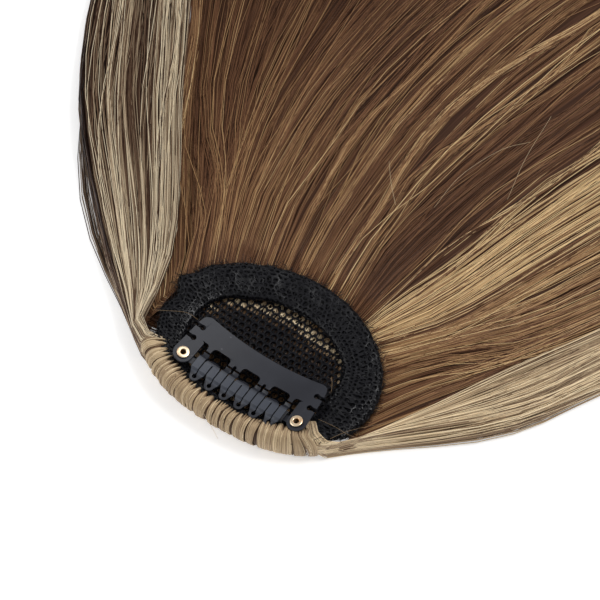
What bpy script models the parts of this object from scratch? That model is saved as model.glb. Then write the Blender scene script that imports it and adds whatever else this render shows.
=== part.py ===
"""Clip-in bangs, lying with the inside up.

A shallow net cap has a folded lace band round its rim and a snap comb across its front edge.
The hair rolls over that edge, runs under the cap and fans out on the surface behind it.
+X runs along the comb, +Y from the comb to the hair's tips and +Z up, out of the cap's inside.
The origin lies on the surface, under the middle of the line between the comb's two eyelets.
"""

import math
import random

import bmesh
import bpy
from mathutils import Matrix, Vector

MM = 0.001
TINY = 0.001 * MM
CLEARANCE = 0.3 * MM

# Cap: a D shape with a shallow front edge, seen from above
CAP_HALF_WIDTH = 25.3 * MM
CAP_MIDDLE_X = -0.8 * MM
CAP_MIDDLE_Y = 11.0 * MM
CAP_BACK_DEPTH = 19.0 * MM
CAP_FRONT_DEPTH = 16.2 * MM
CAP_BACK_POWER = 2.0
CAP_FRONT_POWER = 2.3
UNDER_HAIR = 2.6 * MM
NET_THICKNESS = 0.6 * MM
NET_RISE = 1.7 * MM
NET_PITCH = 3.1 * MM
NET_STRAND = 0.75 * MM
NET_REACH = 0.88
NET_EDGE_STEPS = 48
OPEN_CELL_MARGIN = 0.55

# Lace band, folded double along the cap's rim
BAND_SIDE_WIDTH = 7.3 * MM
BAND_BACK_WIDTH = 6.8 * MM
BAND_FRONT_WIDTH = 2.2 * MM
BAND_THICKNESS = 1.4 * MM
BAND_STATIONS = 56
BAND_SECTION = 8
BAND_SIDE_POWER = 0.55
BAND_TOP_POWER = 0.8

# Snap comb
CLIP_BOW_RADIUS = 80.0 * MM
EYELET_X = 14.2 * MM
PLATE_THICKNESS = 0.4 * MM
PLATE_BACK_Y = 10.1 * MM
PLATE_BACK_HALF = 15.5 * MM
PLATE_WAIST = 0.8 * MM
PLATE_FRONT_HALF = 16.3 * MM
PLATE_CORNER = 1.6 * MM
ARM_INNER_X = 12.0 * MM
NUB_Y = 3.3 * MM
NUB_WIDTH = 1.1 * MM
WINDOW_NOTCH_DEPTH = 1.5 * MM
GAP_NOTCH_DEPTH = 0.7 * MM
SLOT_WIDTH = 0.9 * MM
SLOT_DEPTH = 2.1 * MM
SLOT_EYE_RADIUS = 0.65 * MM
SLOT_YS = (7.1 * MM, 4.1 * MM)
BAR_THICKNESS = 0.35 * MM
BAR_WIDTH = 1.5 * MM
BAR_TAB_RADIUS = 1.9 * MM
SLEEVE_WALL = 0.35 * MM
SLEEVE_LENGTH = 22.6 * MM
TOOTH_THICKNESS = 0.35 * MM
LEG_PITCH = 1.85 * MM
LEG_WIDTH = 1.3 * MM
LEGS_PER_UNIT = 4
ROOT_GAP = 0.45 * MM
TURN_TOP_Y = 2.3 * MM
TIP_Y = -2.9 * MM
TIP_RADIUS = 1.05 * MM
TIP_HOLE_RADIUS = 0.5 * MM
DIP_DEPTH = 0.35 * MM

# Eyelets
EYELET_FLANGE_RADIUS = 1.35 * MM
EYELET_TUBE_RADIUS = 0.82 * MM
EYELET_HOLE_RADIUS = 0.6 * MM
EYELET_FLANGE = 0.22 * MM
EYELET_FOOT_RADIUS = 1.2 * MM
EYELET_SEGMENTS = 16

# Hair
HAIR_HEIGHT = 6.6 * MM
LOCK_HEIGHT = 7.4 * MM
TIP_HEIGHT = 0.9 * MM
FAN_HALF_WIDTH = 110.0 * MM
FAN_LENGTH = 170.0 * MM
RIM_INSIDE = 1.012
RIM_OUTSIDE = 1.05
ROLL_WIDTH_SHARE = 0.8
ROLL_HALF_WIDTH = ROLL_WIDTH_SHARE * CAP_HALF_WIDTH
ROLL_REACH = 3.6 * MM
ROLL_UNDER = 6.2 * MM
ROLL_LIP = 0.15 * MM
ROLL_CROWN = 0.7 * MM
ROLL_CROWN_DIP = 0.15 * MM
ROLL_TUFT_DIP = 0.9
ROLL_TUFTS = 16
LOCK_COLUMNS = 3
VALLEY = 0.16
TIP_NOTCH = 0.10
TIP_SPREAD = 0.05
TIP_SPREAD_FROM = 0.3
HAIR_SEED = 12

# The roll's outward reach along the front edge.
# Columns: share of the roll's half width, share of ROLL_REACH.
ROLL_SHAPE = ((-1.0, 1.0), (-0.5, 0.95), (0.0, 0.83), (0.5, 0.70), (0.8, 0.60), (1.0, 0.50))

# The roll's section from its crown outward and down to the surface.
# Columns: share of the reach there, share of the crown's height.
ROLL_SECTION = ((0.15, 1.0), (0.55, 0.98), (0.86, 0.85), (1.0, 0.60), (0.88, 0.34), (0.50, 0.12),
                (-0.20, 0.0))

# The fan's flow lines from the left to the right.
# Columns: root x as a share of ROLL_HALF_WIDTH, the angle on the rim in degrees, then x and y as
# shares of FAN_HALF_WIDTH and FAN_LENGTH at four places further out: near, mid, far and tip.
FRINGE_LINES = (
    (-0.96, 167, (-0.287, 0.155), (-0.524, 0.374), (-0.753, 0.635), (-0.858, 0.955)),
    (-0.75, 150, (-0.300, 0.235), (-0.418, 0.418), (-0.527, 0.653), (-0.630, 0.925)),
    (-0.52, 137, (-0.255, 0.259), (-0.318, 0.447), (-0.336, 0.688), (-0.330, 0.920)),
    (-0.28, 122, (-0.186, 0.270), (-0.227, 0.465), (-0.209, 0.700), (-0.150, 0.915)),
    (0.00, 96, (-0.055, 0.282), (-0.073, 0.470), (-0.036, 0.700), (0.045, 0.920)),
    (0.28, 72, (0.059, 0.276), (0.091, 0.459), (0.173, 0.694), (0.265, 0.915)),
    (0.52, 49, (0.227, 0.224), (0.323, 0.388), (0.473, 0.653), (0.565, 0.915)),
    (0.75, 28, (0.286, 0.194), (0.423, 0.324), (0.627, 0.612), (0.735, 0.930)),
    (0.97, -14, (0.297, 0.110), (0.457, 0.307), (0.678, 0.598), (0.805, 0.940)),
)
FRINGE_STATIONS = (0.0, 0.165, 0.172, 0.265, 0.46, 0.70, 1.0)
FRINGE_LOCKS = 16
# Columns: share of the way along, share of HAIR_HEIGHT.
FRINGE_PROFILE = ((0.17, 0.98), (0.27, 1.0), (0.46, 0.82), (0.70, 0.56), (0.90, 0.34), (1.0, 0.14))
FRINGE_ROWS = (0.0, 0.06, 0.12, 0.165, 0.172, 0.20, 0.24, 0.30, 0.38, 0.48, 0.60, 0.72, 0.84,
               0.93, 1.0)

# The two temple locks. Columns: the share across the lock, then x and y at seven places from the
# root to the tip; the first three are shares of CAP_HALF_WIDTH, the others of the fan's two sizes.
LEFT_LOCK_LINES = (
    (0.0, (-0.892, -0.100), (-1.035, -0.031), (-1.270, 0.140),
     (-0.427, 0.078), (-0.728, 0.282), (-0.972, 0.571), (-1.055, 1.080)),
    (0.5, (-0.862, -0.045), (-1.025, 0.030), (-1.150, 0.250),
     (-0.373, 0.124), (-0.641, 0.335), (-0.882, 0.606), (-0.995, 1.130)),
    (1.0, (-0.833, 0.010), (-1.010, 0.090), (-1.045, 0.370),
     (-0.303, 0.144), (-0.532, 0.370), (-0.772, 0.629), (-0.912, 1.070)),
)
LEFT_LOCK_STATIONS = (0.0, 0.04, 0.075, 0.15, 0.37, 0.65, 1.0)
LEFT_LOCKS = 5
RIGHT_LOCK_LINES = (
    (0.0, (0.830, 0.005), (0.925, 0.065), (1.085, 0.297),
     (0.304, 0.107), (0.464, 0.303), (0.686, 0.594), (0.845, 1.060)),
    (0.5, (0.842, -0.018), (0.940, 0.030), (1.090, 0.242),
     (0.322, 0.096), (0.505, 0.285), (0.744, 0.582), (0.900, 1.110)),
    (1.0, (0.854, -0.040), (0.955, -0.005), (1.095, 0.188),
     (0.341, 0.085), (0.545, 0.268), (0.800, 0.571), (0.955, 1.040)),
)
RIGHT_LOCK_STATIONS = (0.0, 0.025, 0.06, 0.13, 0.35, 0.65, 1.0)
RIGHT_LOCKS = 4
# Columns: share of the way along, share of LOCK_HEIGHT.
LOCK_PROFILE = ((0.0, 1.0), (0.05, 1.0), (0.12, 0.92), (0.3, 0.82), (0.55, 0.62), (0.8, 0.38),
                (1.0, 0.12))
LOCK_ROWS = (0.0, 0.02, 0.04, 0.06, 0.085, 0.115, 0.15, 0.20, 0.26, 0.33, 0.41, 0.50, 0.60, 0.70,
             0.80, 0.90, 1.0)

COLLECTION = "clip_in_bangs"
CUTTERS = "cutters"


def smooth(stations, values, place):
    """Read a smooth curve through values at stations; place is clamped to their range."""
    last = len(stations) - 1
    place = min(max(place, stations[0]), stations[last])
    low = 0
    while low < last - 1 and place > stations[low + 1]:
        low += 1

    def slope(index):
        before, after = max(index - 1, 0), min(index + 1, last)
        return (values[after] - values[before]) / (stations[after] - stations[before])

    span = stations[low + 1] - stations[low]
    share = (place - stations[low]) / span
    start, end = values[low], values[low + 1]
    rise_start, rise_end = slope(low) * span, slope(low + 1) * span
    square, cube = share * share, share ** 3
    return (start * (2 * cube - 3 * square + 1) + rise_start * (cube - 2 * square + share)
            + end * (3 * square - 2 * cube) + rise_end * (cube - square))


def read_columns(table, place):
    """Read a two-column table as a smooth curve."""
    return smooth([row[0] for row in table], [row[1] for row in table], place)


def signed_power(value, power):
    return math.copysign(abs(value) ** power, value)


def cap_outline(angle, share=1.0, side=0.0, back=0.0, front=0.0):
    """A point of the cap's outline at an angle, scaled by share and pulled in by the widths."""
    behind = math.sin(angle) >= 0
    power = CAP_BACK_POWER if behind else CAP_FRONT_POWER
    depth = CAP_BACK_DEPTH - back if behind else CAP_FRONT_DEPTH - front
    x = (CAP_HALF_WIDTH - side) * share * signed_power(math.cos(angle), 2 / power)
    y = depth * share * signed_power(math.sin(angle), 2 / power)
    return Vector((CAP_MIDDLE_X + x, CAP_MIDDLE_Y + y, 0))


def cap_share(x, y):
    """0 at the cap's middle and 1 on its outline."""
    behind = y >= CAP_MIDDLE_Y
    power = CAP_BACK_POWER if behind else CAP_FRONT_POWER
    depth = CAP_BACK_DEPTH if behind else CAP_FRONT_DEPTH
    across = abs((x - CAP_MIDDLE_X) / CAP_HALF_WIDTH) ** power
    along = abs((y - CAP_MIDDLE_Y) / depth) ** power
    return (across + along) ** (1 / power)


def net_height(x, y):
    """The height of the net's middle surface, a shallow bowl."""
    middle = UNDER_HAIR + CLEARANCE + NET_THICKNESS / 2
    return middle + NET_RISE * min(cap_share(x, y), 1.0) ** 2


def band_height(x, y):
    """The height of the lace band's middle surface, which lies on the net."""
    return net_height(x, y) + NET_THICKNESS / 2 + CLEARANCE + BAND_THICKNESS / 2


def front_edge_y(x):
    """The cap's front edge at a distance along the comb."""
    across = min(abs(x - CAP_MIDDLE_X) / CAP_HALF_WIDTH, 1.0) ** CAP_FRONT_POWER
    return CAP_MIDDLE_Y - CAP_FRONT_DEPTH * (1 - across) ** (1 / CAP_FRONT_POWER)


def clip_rise(x):
    """How much the bowed clip is higher than at its eyelets."""
    return (x * x - EYELET_X * EYELET_X) / (2 * CLIP_BOW_RADIUS)


EYELET_FOOT_Z = band_height(EYELET_X, 0) + BAND_THICKNESS / 2 + 2 * CLEARANCE
BAR_Z = EYELET_FOOT_Z + EYELET_FLANGE + CLEARANCE + BAR_THICKNESS / 2
PLATE_Z = BAR_Z + BAR_THICKNESS / 2 + CLEARANCE + PLATE_THICKNESS / 2
EYELET_TOP_Z = PLATE_Z + PLATE_THICKNESS / 2 + CLEARANCE + EYELET_FLANGE
SLEEVE_INNER_HALF = BAR_WIDTH / 2 + CLEARANCE
SLEEVE_OUTER_HALF = SLEEVE_INNER_HALF + SLEEVE_WALL
SLEEVE_TOP = BAR_THICKNESS / 2 + CLEARANCE + SLEEVE_WALL
OVER_BAR_Z = BAR_Z + SLEEVE_TOP + CLEARANCE + TOOTH_THICKNESS / 2


def clear_scene():
    for item in list(bpy.data.objects):
        bpy.data.objects.remove(item, do_unlink=True)


def new_collection(name):
    made = bpy.data.collections.new(name)
    bpy.context.scene.collection.children.link(made)
    return made


def new_material(name, colour, roughness, metallic=0.0):
    made = bpy.data.materials.new(name)
    made.use_nodes = True
    shader = made.node_tree.nodes["Principled BSDF"]
    shader.inputs["Base Color"].default_value = (*colour, 1.0)
    shader.inputs["Roughness"].default_value = roughness
    shader.inputs["Metallic"].default_value = metallic
    return made


def new_object(name, shape, collection, material=None):
    """Turn a bmesh into an object of the part."""
    bmesh.ops.recalc_face_normals(shape, faces=shape.faces)
    mesh = bpy.data.meshes.new(name)
    shape.to_mesh(mesh)
    shape.free()
    item = bpy.data.objects.new(name, mesh)
    collection.objects.link(item)
    if material is not None:
        mesh.materials.append(material)
    return item


def arc(middle_x, middle_y, radius, start, end, steps):
    """Points on an arc between two angles in degrees."""
    points = []
    for step in range(steps + 1):
        angle = math.radians(start + (end - start) * step / steps)
        points.append((middle_x + radius * math.cos(angle), middle_y + radius * math.sin(angle)))
    return points


def mirrored(points):
    """The same points on the other side of the middle, in the order that goes on."""
    return [(-x, y) for x, y in reversed(points)]


def flat_shape(loops, thickness):
    """A flat outline with its holes as a solid of even thickness, welded, in a bmesh."""
    curve = bpy.data.curves.new("outline", "CURVE")
    curve.dimensions = "2D"
    curve.fill_mode = "BOTH"
    curve.extrude = thickness / 2
    for loop in loops:
        spline = curve.splines.new("POLY")
        spline.points.add(len(loop) - 1)
        for point, (x, y) in zip(spline.points, loop):
            point.co = (x, y, 0, 1)
        spline.use_cyclic_u = True
    guide = bpy.data.objects.new("outline", curve)
    bpy.context.scene.collection.objects.link(guide)
    reader = bpy.context.evaluated_depsgraph_get()
    mesh = bpy.data.meshes.new_from_object(guide.evaluated_get(reader))
    bpy.data.objects.remove(guide, do_unlink=True)
    bpy.data.curves.remove(curve)
    shape = bmesh.new()
    shape.from_mesh(mesh)
    bpy.data.meshes.remove(mesh)
    bmesh.ops.remove_doubles(shape, verts=shape.verts, dist=TINY)
    bmesh.ops.dissolve_limit(shape, angle_limit=math.radians(1), verts=shape.verts,
                             edges=shape.edges)
    return shape


def cut_across(shape, places, normal):
    """Add edge loops where planes cross a shape, so that it can be bent there."""
    for place in places:
        everything = shape.verts[:] + shape.edges[:] + shape.faces[:]
        bmesh.ops.bisect_plane(shape, geom=everything, dist=TINY, plane_co=Vector(normal) * place,
                               plane_no=normal)


def even_steps(low, high, count):
    return [low + (high - low) * (step + 1) / (count + 1) for step in range(count)]


def lofted(name, sections, closed, collection, material):
    """A body through like sections, each a loop of points; closed joins the last to the first."""
    shape = bmesh.new()
    rings = [[shape.verts.new(point) for point in section] for section in sections]
    count = len(rings[0])
    pairs = list(zip(rings, rings[1:]))
    if closed:
        pairs.append((rings[-1], rings[0]))
    for first, second in pairs:
        for index in range(count):
            following = (index + 1) % count
            shape.faces.new((first[index], first[following], second[following], second[index]))
    if not closed:
        shape.faces.new(rings[0])
        shape.faces.new(rings[-1])
    return new_object(name, shape, collection, material)


def inside_band(x, y, margin):
    """Whether a place lies inside the band's inner edge by at least a margin."""
    behind = y >= CAP_MIDDLE_Y
    power = CAP_BACK_POWER if behind else CAP_FRONT_POWER
    width = CAP_HALF_WIDTH - BAND_SIDE_WIDTH - margin
    depth = CAP_BACK_DEPTH - BAND_BACK_WIDTH if behind else CAP_FRONT_DEPTH - BAND_FRONT_WIDTH
    across = abs((x - CAP_MIDDLE_X) / width) ** power
    return across + abs((y - CAP_MIDDLE_Y) / (depth - margin)) ** power <= 1


def net_cap(collection, cutters, material):
    """Hexagonal net, open inside the band and whole under it, bent to a bowl."""
    shape = bmesh.new()
    cell_radius = NET_PITCH / math.sqrt(3)
    row_step = cell_radius * 1.5
    rows = int(CAP_BACK_DEPTH / row_step) + 2
    columns = int(CAP_HALF_WIDTH / NET_PITCH) + 2
    for row in range(-rows, rows + 1):
        for column in range(-columns, columns + 1):
            x = CAP_MIDDLE_X + (column + 0.5 * (row % 2)) * NET_PITCH
            y = CAP_MIDDLE_Y + row * row_step
            if cap_share(x, y) < NET_REACH + cell_radius / CAP_FRONT_DEPTH:
                place = Matrix.Translation((x, y, 0))
                bmesh.ops.create_circle(shape, cap_ends=True, radius=cell_radius, segments=6,
                                        matrix=place)
    bmesh.ops.remove_doubles(shape, verts=shape.verts, dist=cell_radius / 20)
    open_cells = []
    for face in shape.faces:
        middle = face.calc_center_median()
        if inside_band(middle.x, middle.y, cell_radius * OPEN_CELL_MARGIN):
            open_cells.append(face)
    bmesh.ops.inset_individual(shape, faces=open_cells, thickness=NET_STRAND / 2)
    bmesh.ops.delete(shape, geom=open_cells, context="FACES")
    for vertex in shape.verts:
        vertex.co.z = net_height(vertex.co.x, vertex.co.y)
    net = new_object("net_cap", shape, collection, material)
    wall = net.modifiers.new("wall", "SOLIDIFY")
    wall.thickness = NET_THICKNESS
    wall.offset = 0
    outline = [tuple(cap_outline(2 * math.pi * step / NET_EDGE_STEPS, NET_REACH)[:2])
               for step in range(NET_EDGE_STEPS)]
    tall = 2 * CAP_HALF_WIDTH
    cutter = new_object("cap_outline", flat_shape([outline], tall), cutters)
    cutter.hide_render = True
    cutter.display_type = "WIRE"
    trim = net.modifiers.new("trim", "BOOLEAN")
    trim.operation = "INTERSECT"
    trim.object = cutter
    return net


def rim_band(collection, material):
    """The folded band: a pillowy ring on the net, wide at the back and narrow at the front."""
    sections = []
    full = math.cos(math.pi / BAND_SECTION) ** BAND_SIDE_POWER
    for step in range(BAND_STATIONS):
        angle = 2 * math.pi * step / BAND_STATIONS
        outer = cap_outline(angle)
        inner = cap_outline(angle, 1.0, BAND_SIDE_WIDTH, BAND_BACK_WIDTH, BAND_FRONT_WIDTH)
        section = []
        for corner in range(BAND_SECTION):
            turn = 2 * math.pi * (corner + 0.5) / BAND_SECTION
            across = 0.5 + 0.5 * signed_power(math.cos(turn), BAND_SIDE_POWER) / full
            point = inner.lerp(outer, across)
            up = signed_power(math.sin(turn), BAND_TOP_POWER) * BAND_THICKNESS / 2
            point.z = band_height(point.x, point.y) + up
            section.append(point)
        sections.append(section)
    return lofted("rim_band", sections, True, collection, material)


def plate_outline():
    """The plate's right half from the middle of its back edge round to its scalloped edge."""
    lean = (PLATE_FRONT_HALF - PLATE_BACK_HALF) / PLATE_BACK_Y

    def end_x(y):
        return PLATE_FRONT_HALF - lean * y

    waist_end = PLATE_BACK_HALF - PLATE_CORNER
    right = []
    for share in (0.0, 0.2, 0.4, 0.6, 0.8):
        right.append((share * waist_end, PLATE_BACK_Y - PLATE_WAIST * (1 - share ** 2)))
    right += arc(PLATE_BACK_HALF - PLATE_CORNER, PLATE_BACK_Y - PLATE_CORNER, PLATE_CORNER,
                 90, 5, 4)
    for slot_y in SLOT_YS:
        half = SLOT_WIDTH / 2
        lap = math.degrees(math.asin(half / SLOT_EYE_RADIUS))
        eye_x = end_x(slot_y) - SLOT_DEPTH + SLOT_EYE_RADIUS
        right.append((end_x(slot_y + half), slot_y + half))
        right += arc(eye_x, slot_y, SLOT_EYE_RADIUS, lap, 360 - lap, 8)
        right.append((end_x(slot_y - half), slot_y - half))
    arm_radius = PLATE_FRONT_HALF - EYELET_X
    right += arc(EYELET_X, 0, arm_radius, 0, -180, 8)
    right += arc(ARM_INNER_X + GAP_NOTCH_DEPTH, NUB_Y + GAP_NOTCH_DEPTH, GAP_NOTCH_DEPTH,
                 200, 90, 3)
    first_unit = -(LEGS_PER_UNIT * LEG_PITCH)
    outer_leg = (LEGS_PER_UNIT - 1) * LEG_PITCH / 2
    nub_half = NUB_WIDTH / 2
    last_nub = -first_unit + outer_leg
    right += arc(last_nub + nub_half + GAP_NOTCH_DEPTH, NUB_Y + GAP_NOTCH_DEPTH, GAP_NOTCH_DEPTH,
                 90, 180, 3)
    edge = [(last_nub + nub_half, NUB_Y)]
    window_half = outer_leg - nub_half
    gap_half = LEG_PITCH / 2 - nub_half
    edge += window_notch(-first_unit, window_half)
    edge += gap_notch(-first_unit / 2, gap_half)
    edge += [(window_half, NUB_Y)]
    edge += arc(window_half - 0.6 * WINDOW_NOTCH_DEPTH, NUB_Y + 0.4 * WINDOW_NOTCH_DEPTH,
                0.6 * WINDOW_NOTCH_DEPTH, 0, 90, 4)
    right += edge
    return right


def window_notch(middle_x, half):
    """A wide notch behind a comb unit, from its right side to its left."""
    radius = 0.6 * WINDOW_NOTCH_DEPTH
    middle_y = NUB_Y + WINDOW_NOTCH_DEPTH - radius
    points = [(middle_x + half, NUB_Y)]
    points += arc(middle_x + half - radius, middle_y, radius, 0, 90, 4)
    points += arc(middle_x - half + radius, middle_y, radius, 90, 180, 4)
    points += [(middle_x - half, NUB_Y)]
    return points


def gap_notch(middle_x, half):
    """A narrow round notch between two comb units, from its right side to its left."""
    middle_y = NUB_Y + GAP_NOTCH_DEPTH - half
    points = [(middle_x + half, NUB_Y)]
    points += arc(middle_x, middle_y, half, 0, 180, 4)
    points += [(middle_x - half, NUB_Y)]
    return points


def bow(shape, level):
    """Bend a flat clip part to the head's curve, at a level that holds at the eyelets."""
    for vertex in shape.verts:
        vertex.co.z += level + clip_rise(vertex.co.x)


def clip_plate(collection, material):
    """The plate: a band with two arms, sewing slots, eyelet holes and a scalloped edge."""
    right = plate_outline()
    outline = right + mirrored(right[1:])
    hole_radius = EYELET_TUBE_RADIUS + CLEARANCE
    right_hole = arc(EYELET_X, 0, hole_radius, 0, 330, 11)
    left_hole = arc(-EYELET_X, 0, hole_radius, 0, 330, 11)
    shape = flat_shape([outline, right_hole, left_hole], PLATE_THICKNESS)
    cut_across(shape, even_steps(-PLATE_BACK_HALF, PLATE_BACK_HALF, 13), (1, 0, 0))
    bow(shape, PLATE_Z)
    return new_object("clip_plate", shape, collection, material)


def clip_bar(collection, material):
    """The cross bar under the teeth, with a round tab under each eyelet."""
    lap = math.degrees(math.asin(BAR_WIDTH / 2 / BAR_TAB_RADIUS))
    right = arc(EYELET_X, 0, BAR_TAB_RADIUS, 180 - lap, -180 + lap, 12)
    outline = right + mirrored(right)
    outline = [(-x, y) for x, y in outline]
    hole_radius = EYELET_TUBE_RADIUS + CLEARANCE
    right_hole = arc(EYELET_X, 0, hole_radius, 0, 330, 11)
    left_hole = arc(-EYELET_X, 0, hole_radius, 0, 330, 11)
    shape = flat_shape([outline, right_hole, left_hole], BAR_THICKNESS)
    cut_across(shape, even_steps(-EYELET_X, EYELET_X, 11), (1, 0, 0))
    bow(shape, BAR_Z)
    return new_object("clip_bar", shape, collection, material)


def bar_sleeve(collection, material):
    """The rubber sleeve: a flat tube round the middle of the bar, open at both ends."""
    inner_up = BAR_THICKNESS / 2 + CLEARANCE
    sections = []
    stations = 13
    for step in range(stations):
        x = -SLEEVE_LENGTH / 2 + SLEEVE_LENGTH * step / (stations - 1)
        level = BAR_Z + clip_rise(x)
        rings = []
        for half, up, corner in ((SLEEVE_OUTER_HALF, SLEEVE_TOP, SLEEVE_WALL),
                                 (SLEEVE_INNER_HALF, inner_up, inner_up * 0.5)):
            ring = []
            for side_y, side_z in ((1, 1), (-1, 1), (-1, -1), (1, -1)):
                first = (side_y * half, side_z * (up - corner))
                second = (side_y * (half - corner), side_z * up)
                ring += [first, second] if side_y == side_z else [second, first]
            rings.append([Vector((x, y, level + z)) for y, z in ring])
        sections.append(rings)
    shape = bmesh.new()
    outer = [[shape.verts.new(point) for point in rings[0]] for rings in sections]
    inner = [[shape.verts.new(point) for point in rings[1]] for rings in sections]
    count = len(outer[0])
    for index in range(count):
        following = (index + 1) % count
        for wall in (outer, inner):
            for first, second in zip(wall, wall[1:]):
                shape.faces.new((first[index], first[following], second[following],
                                 second[index]))
        for end in (0, -1):
            shape.faces.new((outer[end][index], outer[end][following], inner[end][following],
                             inner[end][index]))
    return new_object("bar_sleeve", shape, collection, material)


def comb_outline(middle_x):
    """Four legs in an M: two outer ones from the roots, joined at two round tips and one turn."""
    half = LEG_WIDTH / 2
    outer_x = 1.5 * LEG_PITCH
    inner_x = 0.5 * LEG_PITCH
    tip_x = LEG_PITCH
    slot_half = LEG_PITCH / 2 - half
    turn_y = TURN_TOP_Y - inner_x - half
    lap = math.degrees(math.asin(slot_half * 0.7 / TIP_HOLE_RADIUS))
    shoulder_y = TIP_Y + 1.4 * TIP_RADIUS
    points = [(outer_x - half, NUB_Y - ROOT_GAP)]
    points += [(tip_x + slot_half, shoulder_y)]
    points += arc(tip_x, TIP_Y, TIP_HOLE_RADIUS, 90 - lap, -270 + lap, 8)
    points += [(tip_x - slot_half, shoulder_y)]
    points += arc(0, turn_y, inner_x + half, 0, 90, 4)
    left = mirrored(points[:-1])
    inner_side = points + left
    outer = [(-outer_x - half, NUB_Y - ROOT_GAP), (-outer_x - half, shoulder_y)]
    outer += arc(-tip_x, TIP_Y, TIP_RADIUS, 180, 330, 7)
    outer += [(-inner_x + half, shoulder_y)]
    outer += arc(0, turn_y, inner_x - half, 180, 90, 3)
    outer_side = outer + mirrored(outer[:-1])
    return [(middle_x + x, y) for x, y in inner_side + outer_side]


def leg_height(y):
    """The height of a leg's middle along its length, from the root over the bar to the tip."""
    over = OVER_BAR_Z - PLATE_Z
    bend_y = SLEEVE_OUTER_HALF
    table = (
        (TIP_Y - TIP_RADIUS, 0.1 * over),
        (TIP_Y + TIP_RADIUS, 0.2 * over),
        (-bend_y, over),
        (bend_y, over),
        (TURN_TOP_Y, -DIP_DEPTH),
        (NUB_Y - ROOT_GAP, 0.0),
    )
    for low, high in zip(table, table[1:]):
        if y <= high[0] + TINY:
            share = (y - low[0]) / (high[0] - low[0])
            return low[1] + (high[1] - low[1]) * max(share, 0)
    return table[-1][1]


def comb_unit(name, middle_x, collection, material, axle):
    """One M of the comb, bent over the bar and bowed with the plate, hung on the root line."""
    shape = flat_shape([comb_outline(middle_x)], TOOTH_THICKNESS)
    bend_y = SLEEVE_OUTER_HALF
    cut_across(shape, (TIP_Y + TIP_RADIUS, -bend_y, bend_y, TURN_TOP_Y), (0, 1, 0))
    for vertex in shape.verts:
        vertex.co.z += leg_height(vertex.co.y)
    bow(shape, PLATE_Z)
    unit = new_object(name, shape, collection, material)
    unit.data.transform(Matrix.Translation(-axle.location))
    unit.parent = axle
    return unit


def eyelet(name, side, collection, material):
    """A hollow turned rivet, square to the bowed plate."""
    profile = (
        (EYELET_HOLE_RADIUS + EYELET_FLANGE / 2, EYELET_TOP_Z),
        (EYELET_FLANGE_RADIUS - EYELET_FLANGE, EYELET_TOP_Z),
        (EYELET_FLANGE_RADIUS, EYELET_TOP_Z - EYELET_FLANGE / 2),
        (EYELET_FLANGE_RADIUS - EYELET_FLANGE / 2, EYELET_TOP_Z - EYELET_FLANGE),
        (EYELET_TUBE_RADIUS, EYELET_TOP_Z - EYELET_FLANGE),
        (EYELET_TUBE_RADIUS, EYELET_FOOT_Z + EYELET_FLANGE),
        (EYELET_FOOT_RADIUS, EYELET_FOOT_Z + EYELET_FLANGE),
        (EYELET_FOOT_RADIUS, EYELET_FOOT_Z),
        (EYELET_HOLE_RADIUS, EYELET_FOOT_Z),
        (EYELET_HOLE_RADIUS, EYELET_TOP_Z - EYELET_FLANGE / 2),
    )
    mesh = bpy.data.meshes.new(name)
    corners = [(radius, 0, height - PLATE_Z) for radius, height in profile]
    edges = [(index, (index + 1) % len(corners)) for index in range(len(corners))]
    mesh.from_pydata(corners, edges, [])
    item = bpy.data.objects.new(name, mesh)
    collection.objects.link(item)
    mesh.materials.append(material)
    turn = item.modifiers.new("turn", "SCREW")
    turn.steps = EYELET_SEGMENTS
    turn.render_steps = EYELET_SEGMENTS
    turn.use_merge_vertices = True
    turn.merge_threshold = 0.00001
    item.location = (side * EYELET_X, 0, PLATE_Z)
    item.rotation_euler = (0, -side * math.asin(EYELET_X / CLIP_BOW_RADIUS), 0)
    return item


def front_roll(collection, material):
    """The hair's front roll: over the cap's front edge, down to the surface and back under it."""
    lip_z = band_height(0, front_edge_y(0)) + BAND_THICKNESS / 2
    stations = 2 * ROLL_TUFTS + 1
    sections = []
    for step in range(stations):
        share = -1 + 2 * step / (stations - 1)
        x = CAP_MIDDLE_X + share * ROLL_HALF_WIDTH
        step_x = ROLL_HALF_WIDTH / stations
        edge = Vector((x, front_edge_y(x), 0))
        ahead = Vector((x + step_x, front_edge_y(x + step_x), 0)) - edge
        outward = Vector((ahead.y, -ahead.x, 0)).normalized()
        swell = 1.0 if step % 2 else ROLL_TUFT_DIP
        reach = ROLL_REACH * read_columns(ROLL_SHAPE, share) * swell
        under_z = net_height(x, edge.y) - NET_THICKNESS / 2 - CLEARANCE
        crown_z = lip_z + CLEARANCE + ROLL_CROWN - (0 if step % 2 else ROLL_CROWN_DIP)
        section = [
            (-ROLL_UNDER * 0.35, under_z * 0.86),
            (CLEARANCE, under_z),
            (CLEARANCE, lip_z + CLEARANCE),
            (-ROLL_LIP, lip_z + 1.3 * CLEARANCE),
            (-ROLL_LIP, crown_z - 2 * ROLL_CROWN_DIP),
        ]
        section += [(out * reach, height * crown_z) for out, height in ROLL_SECTION]
        points = []
        for out, height in section:
            point = edge + outward * out
            point.z = height
            points.append(point)
        for height in (0, under_z * 0.78):
            points.append(Vector((edge.x, edge.y + ROLL_UNDER, height)))
        sections.append(points)
    return lofted("front_roll", sections, False, collection, material)


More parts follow.
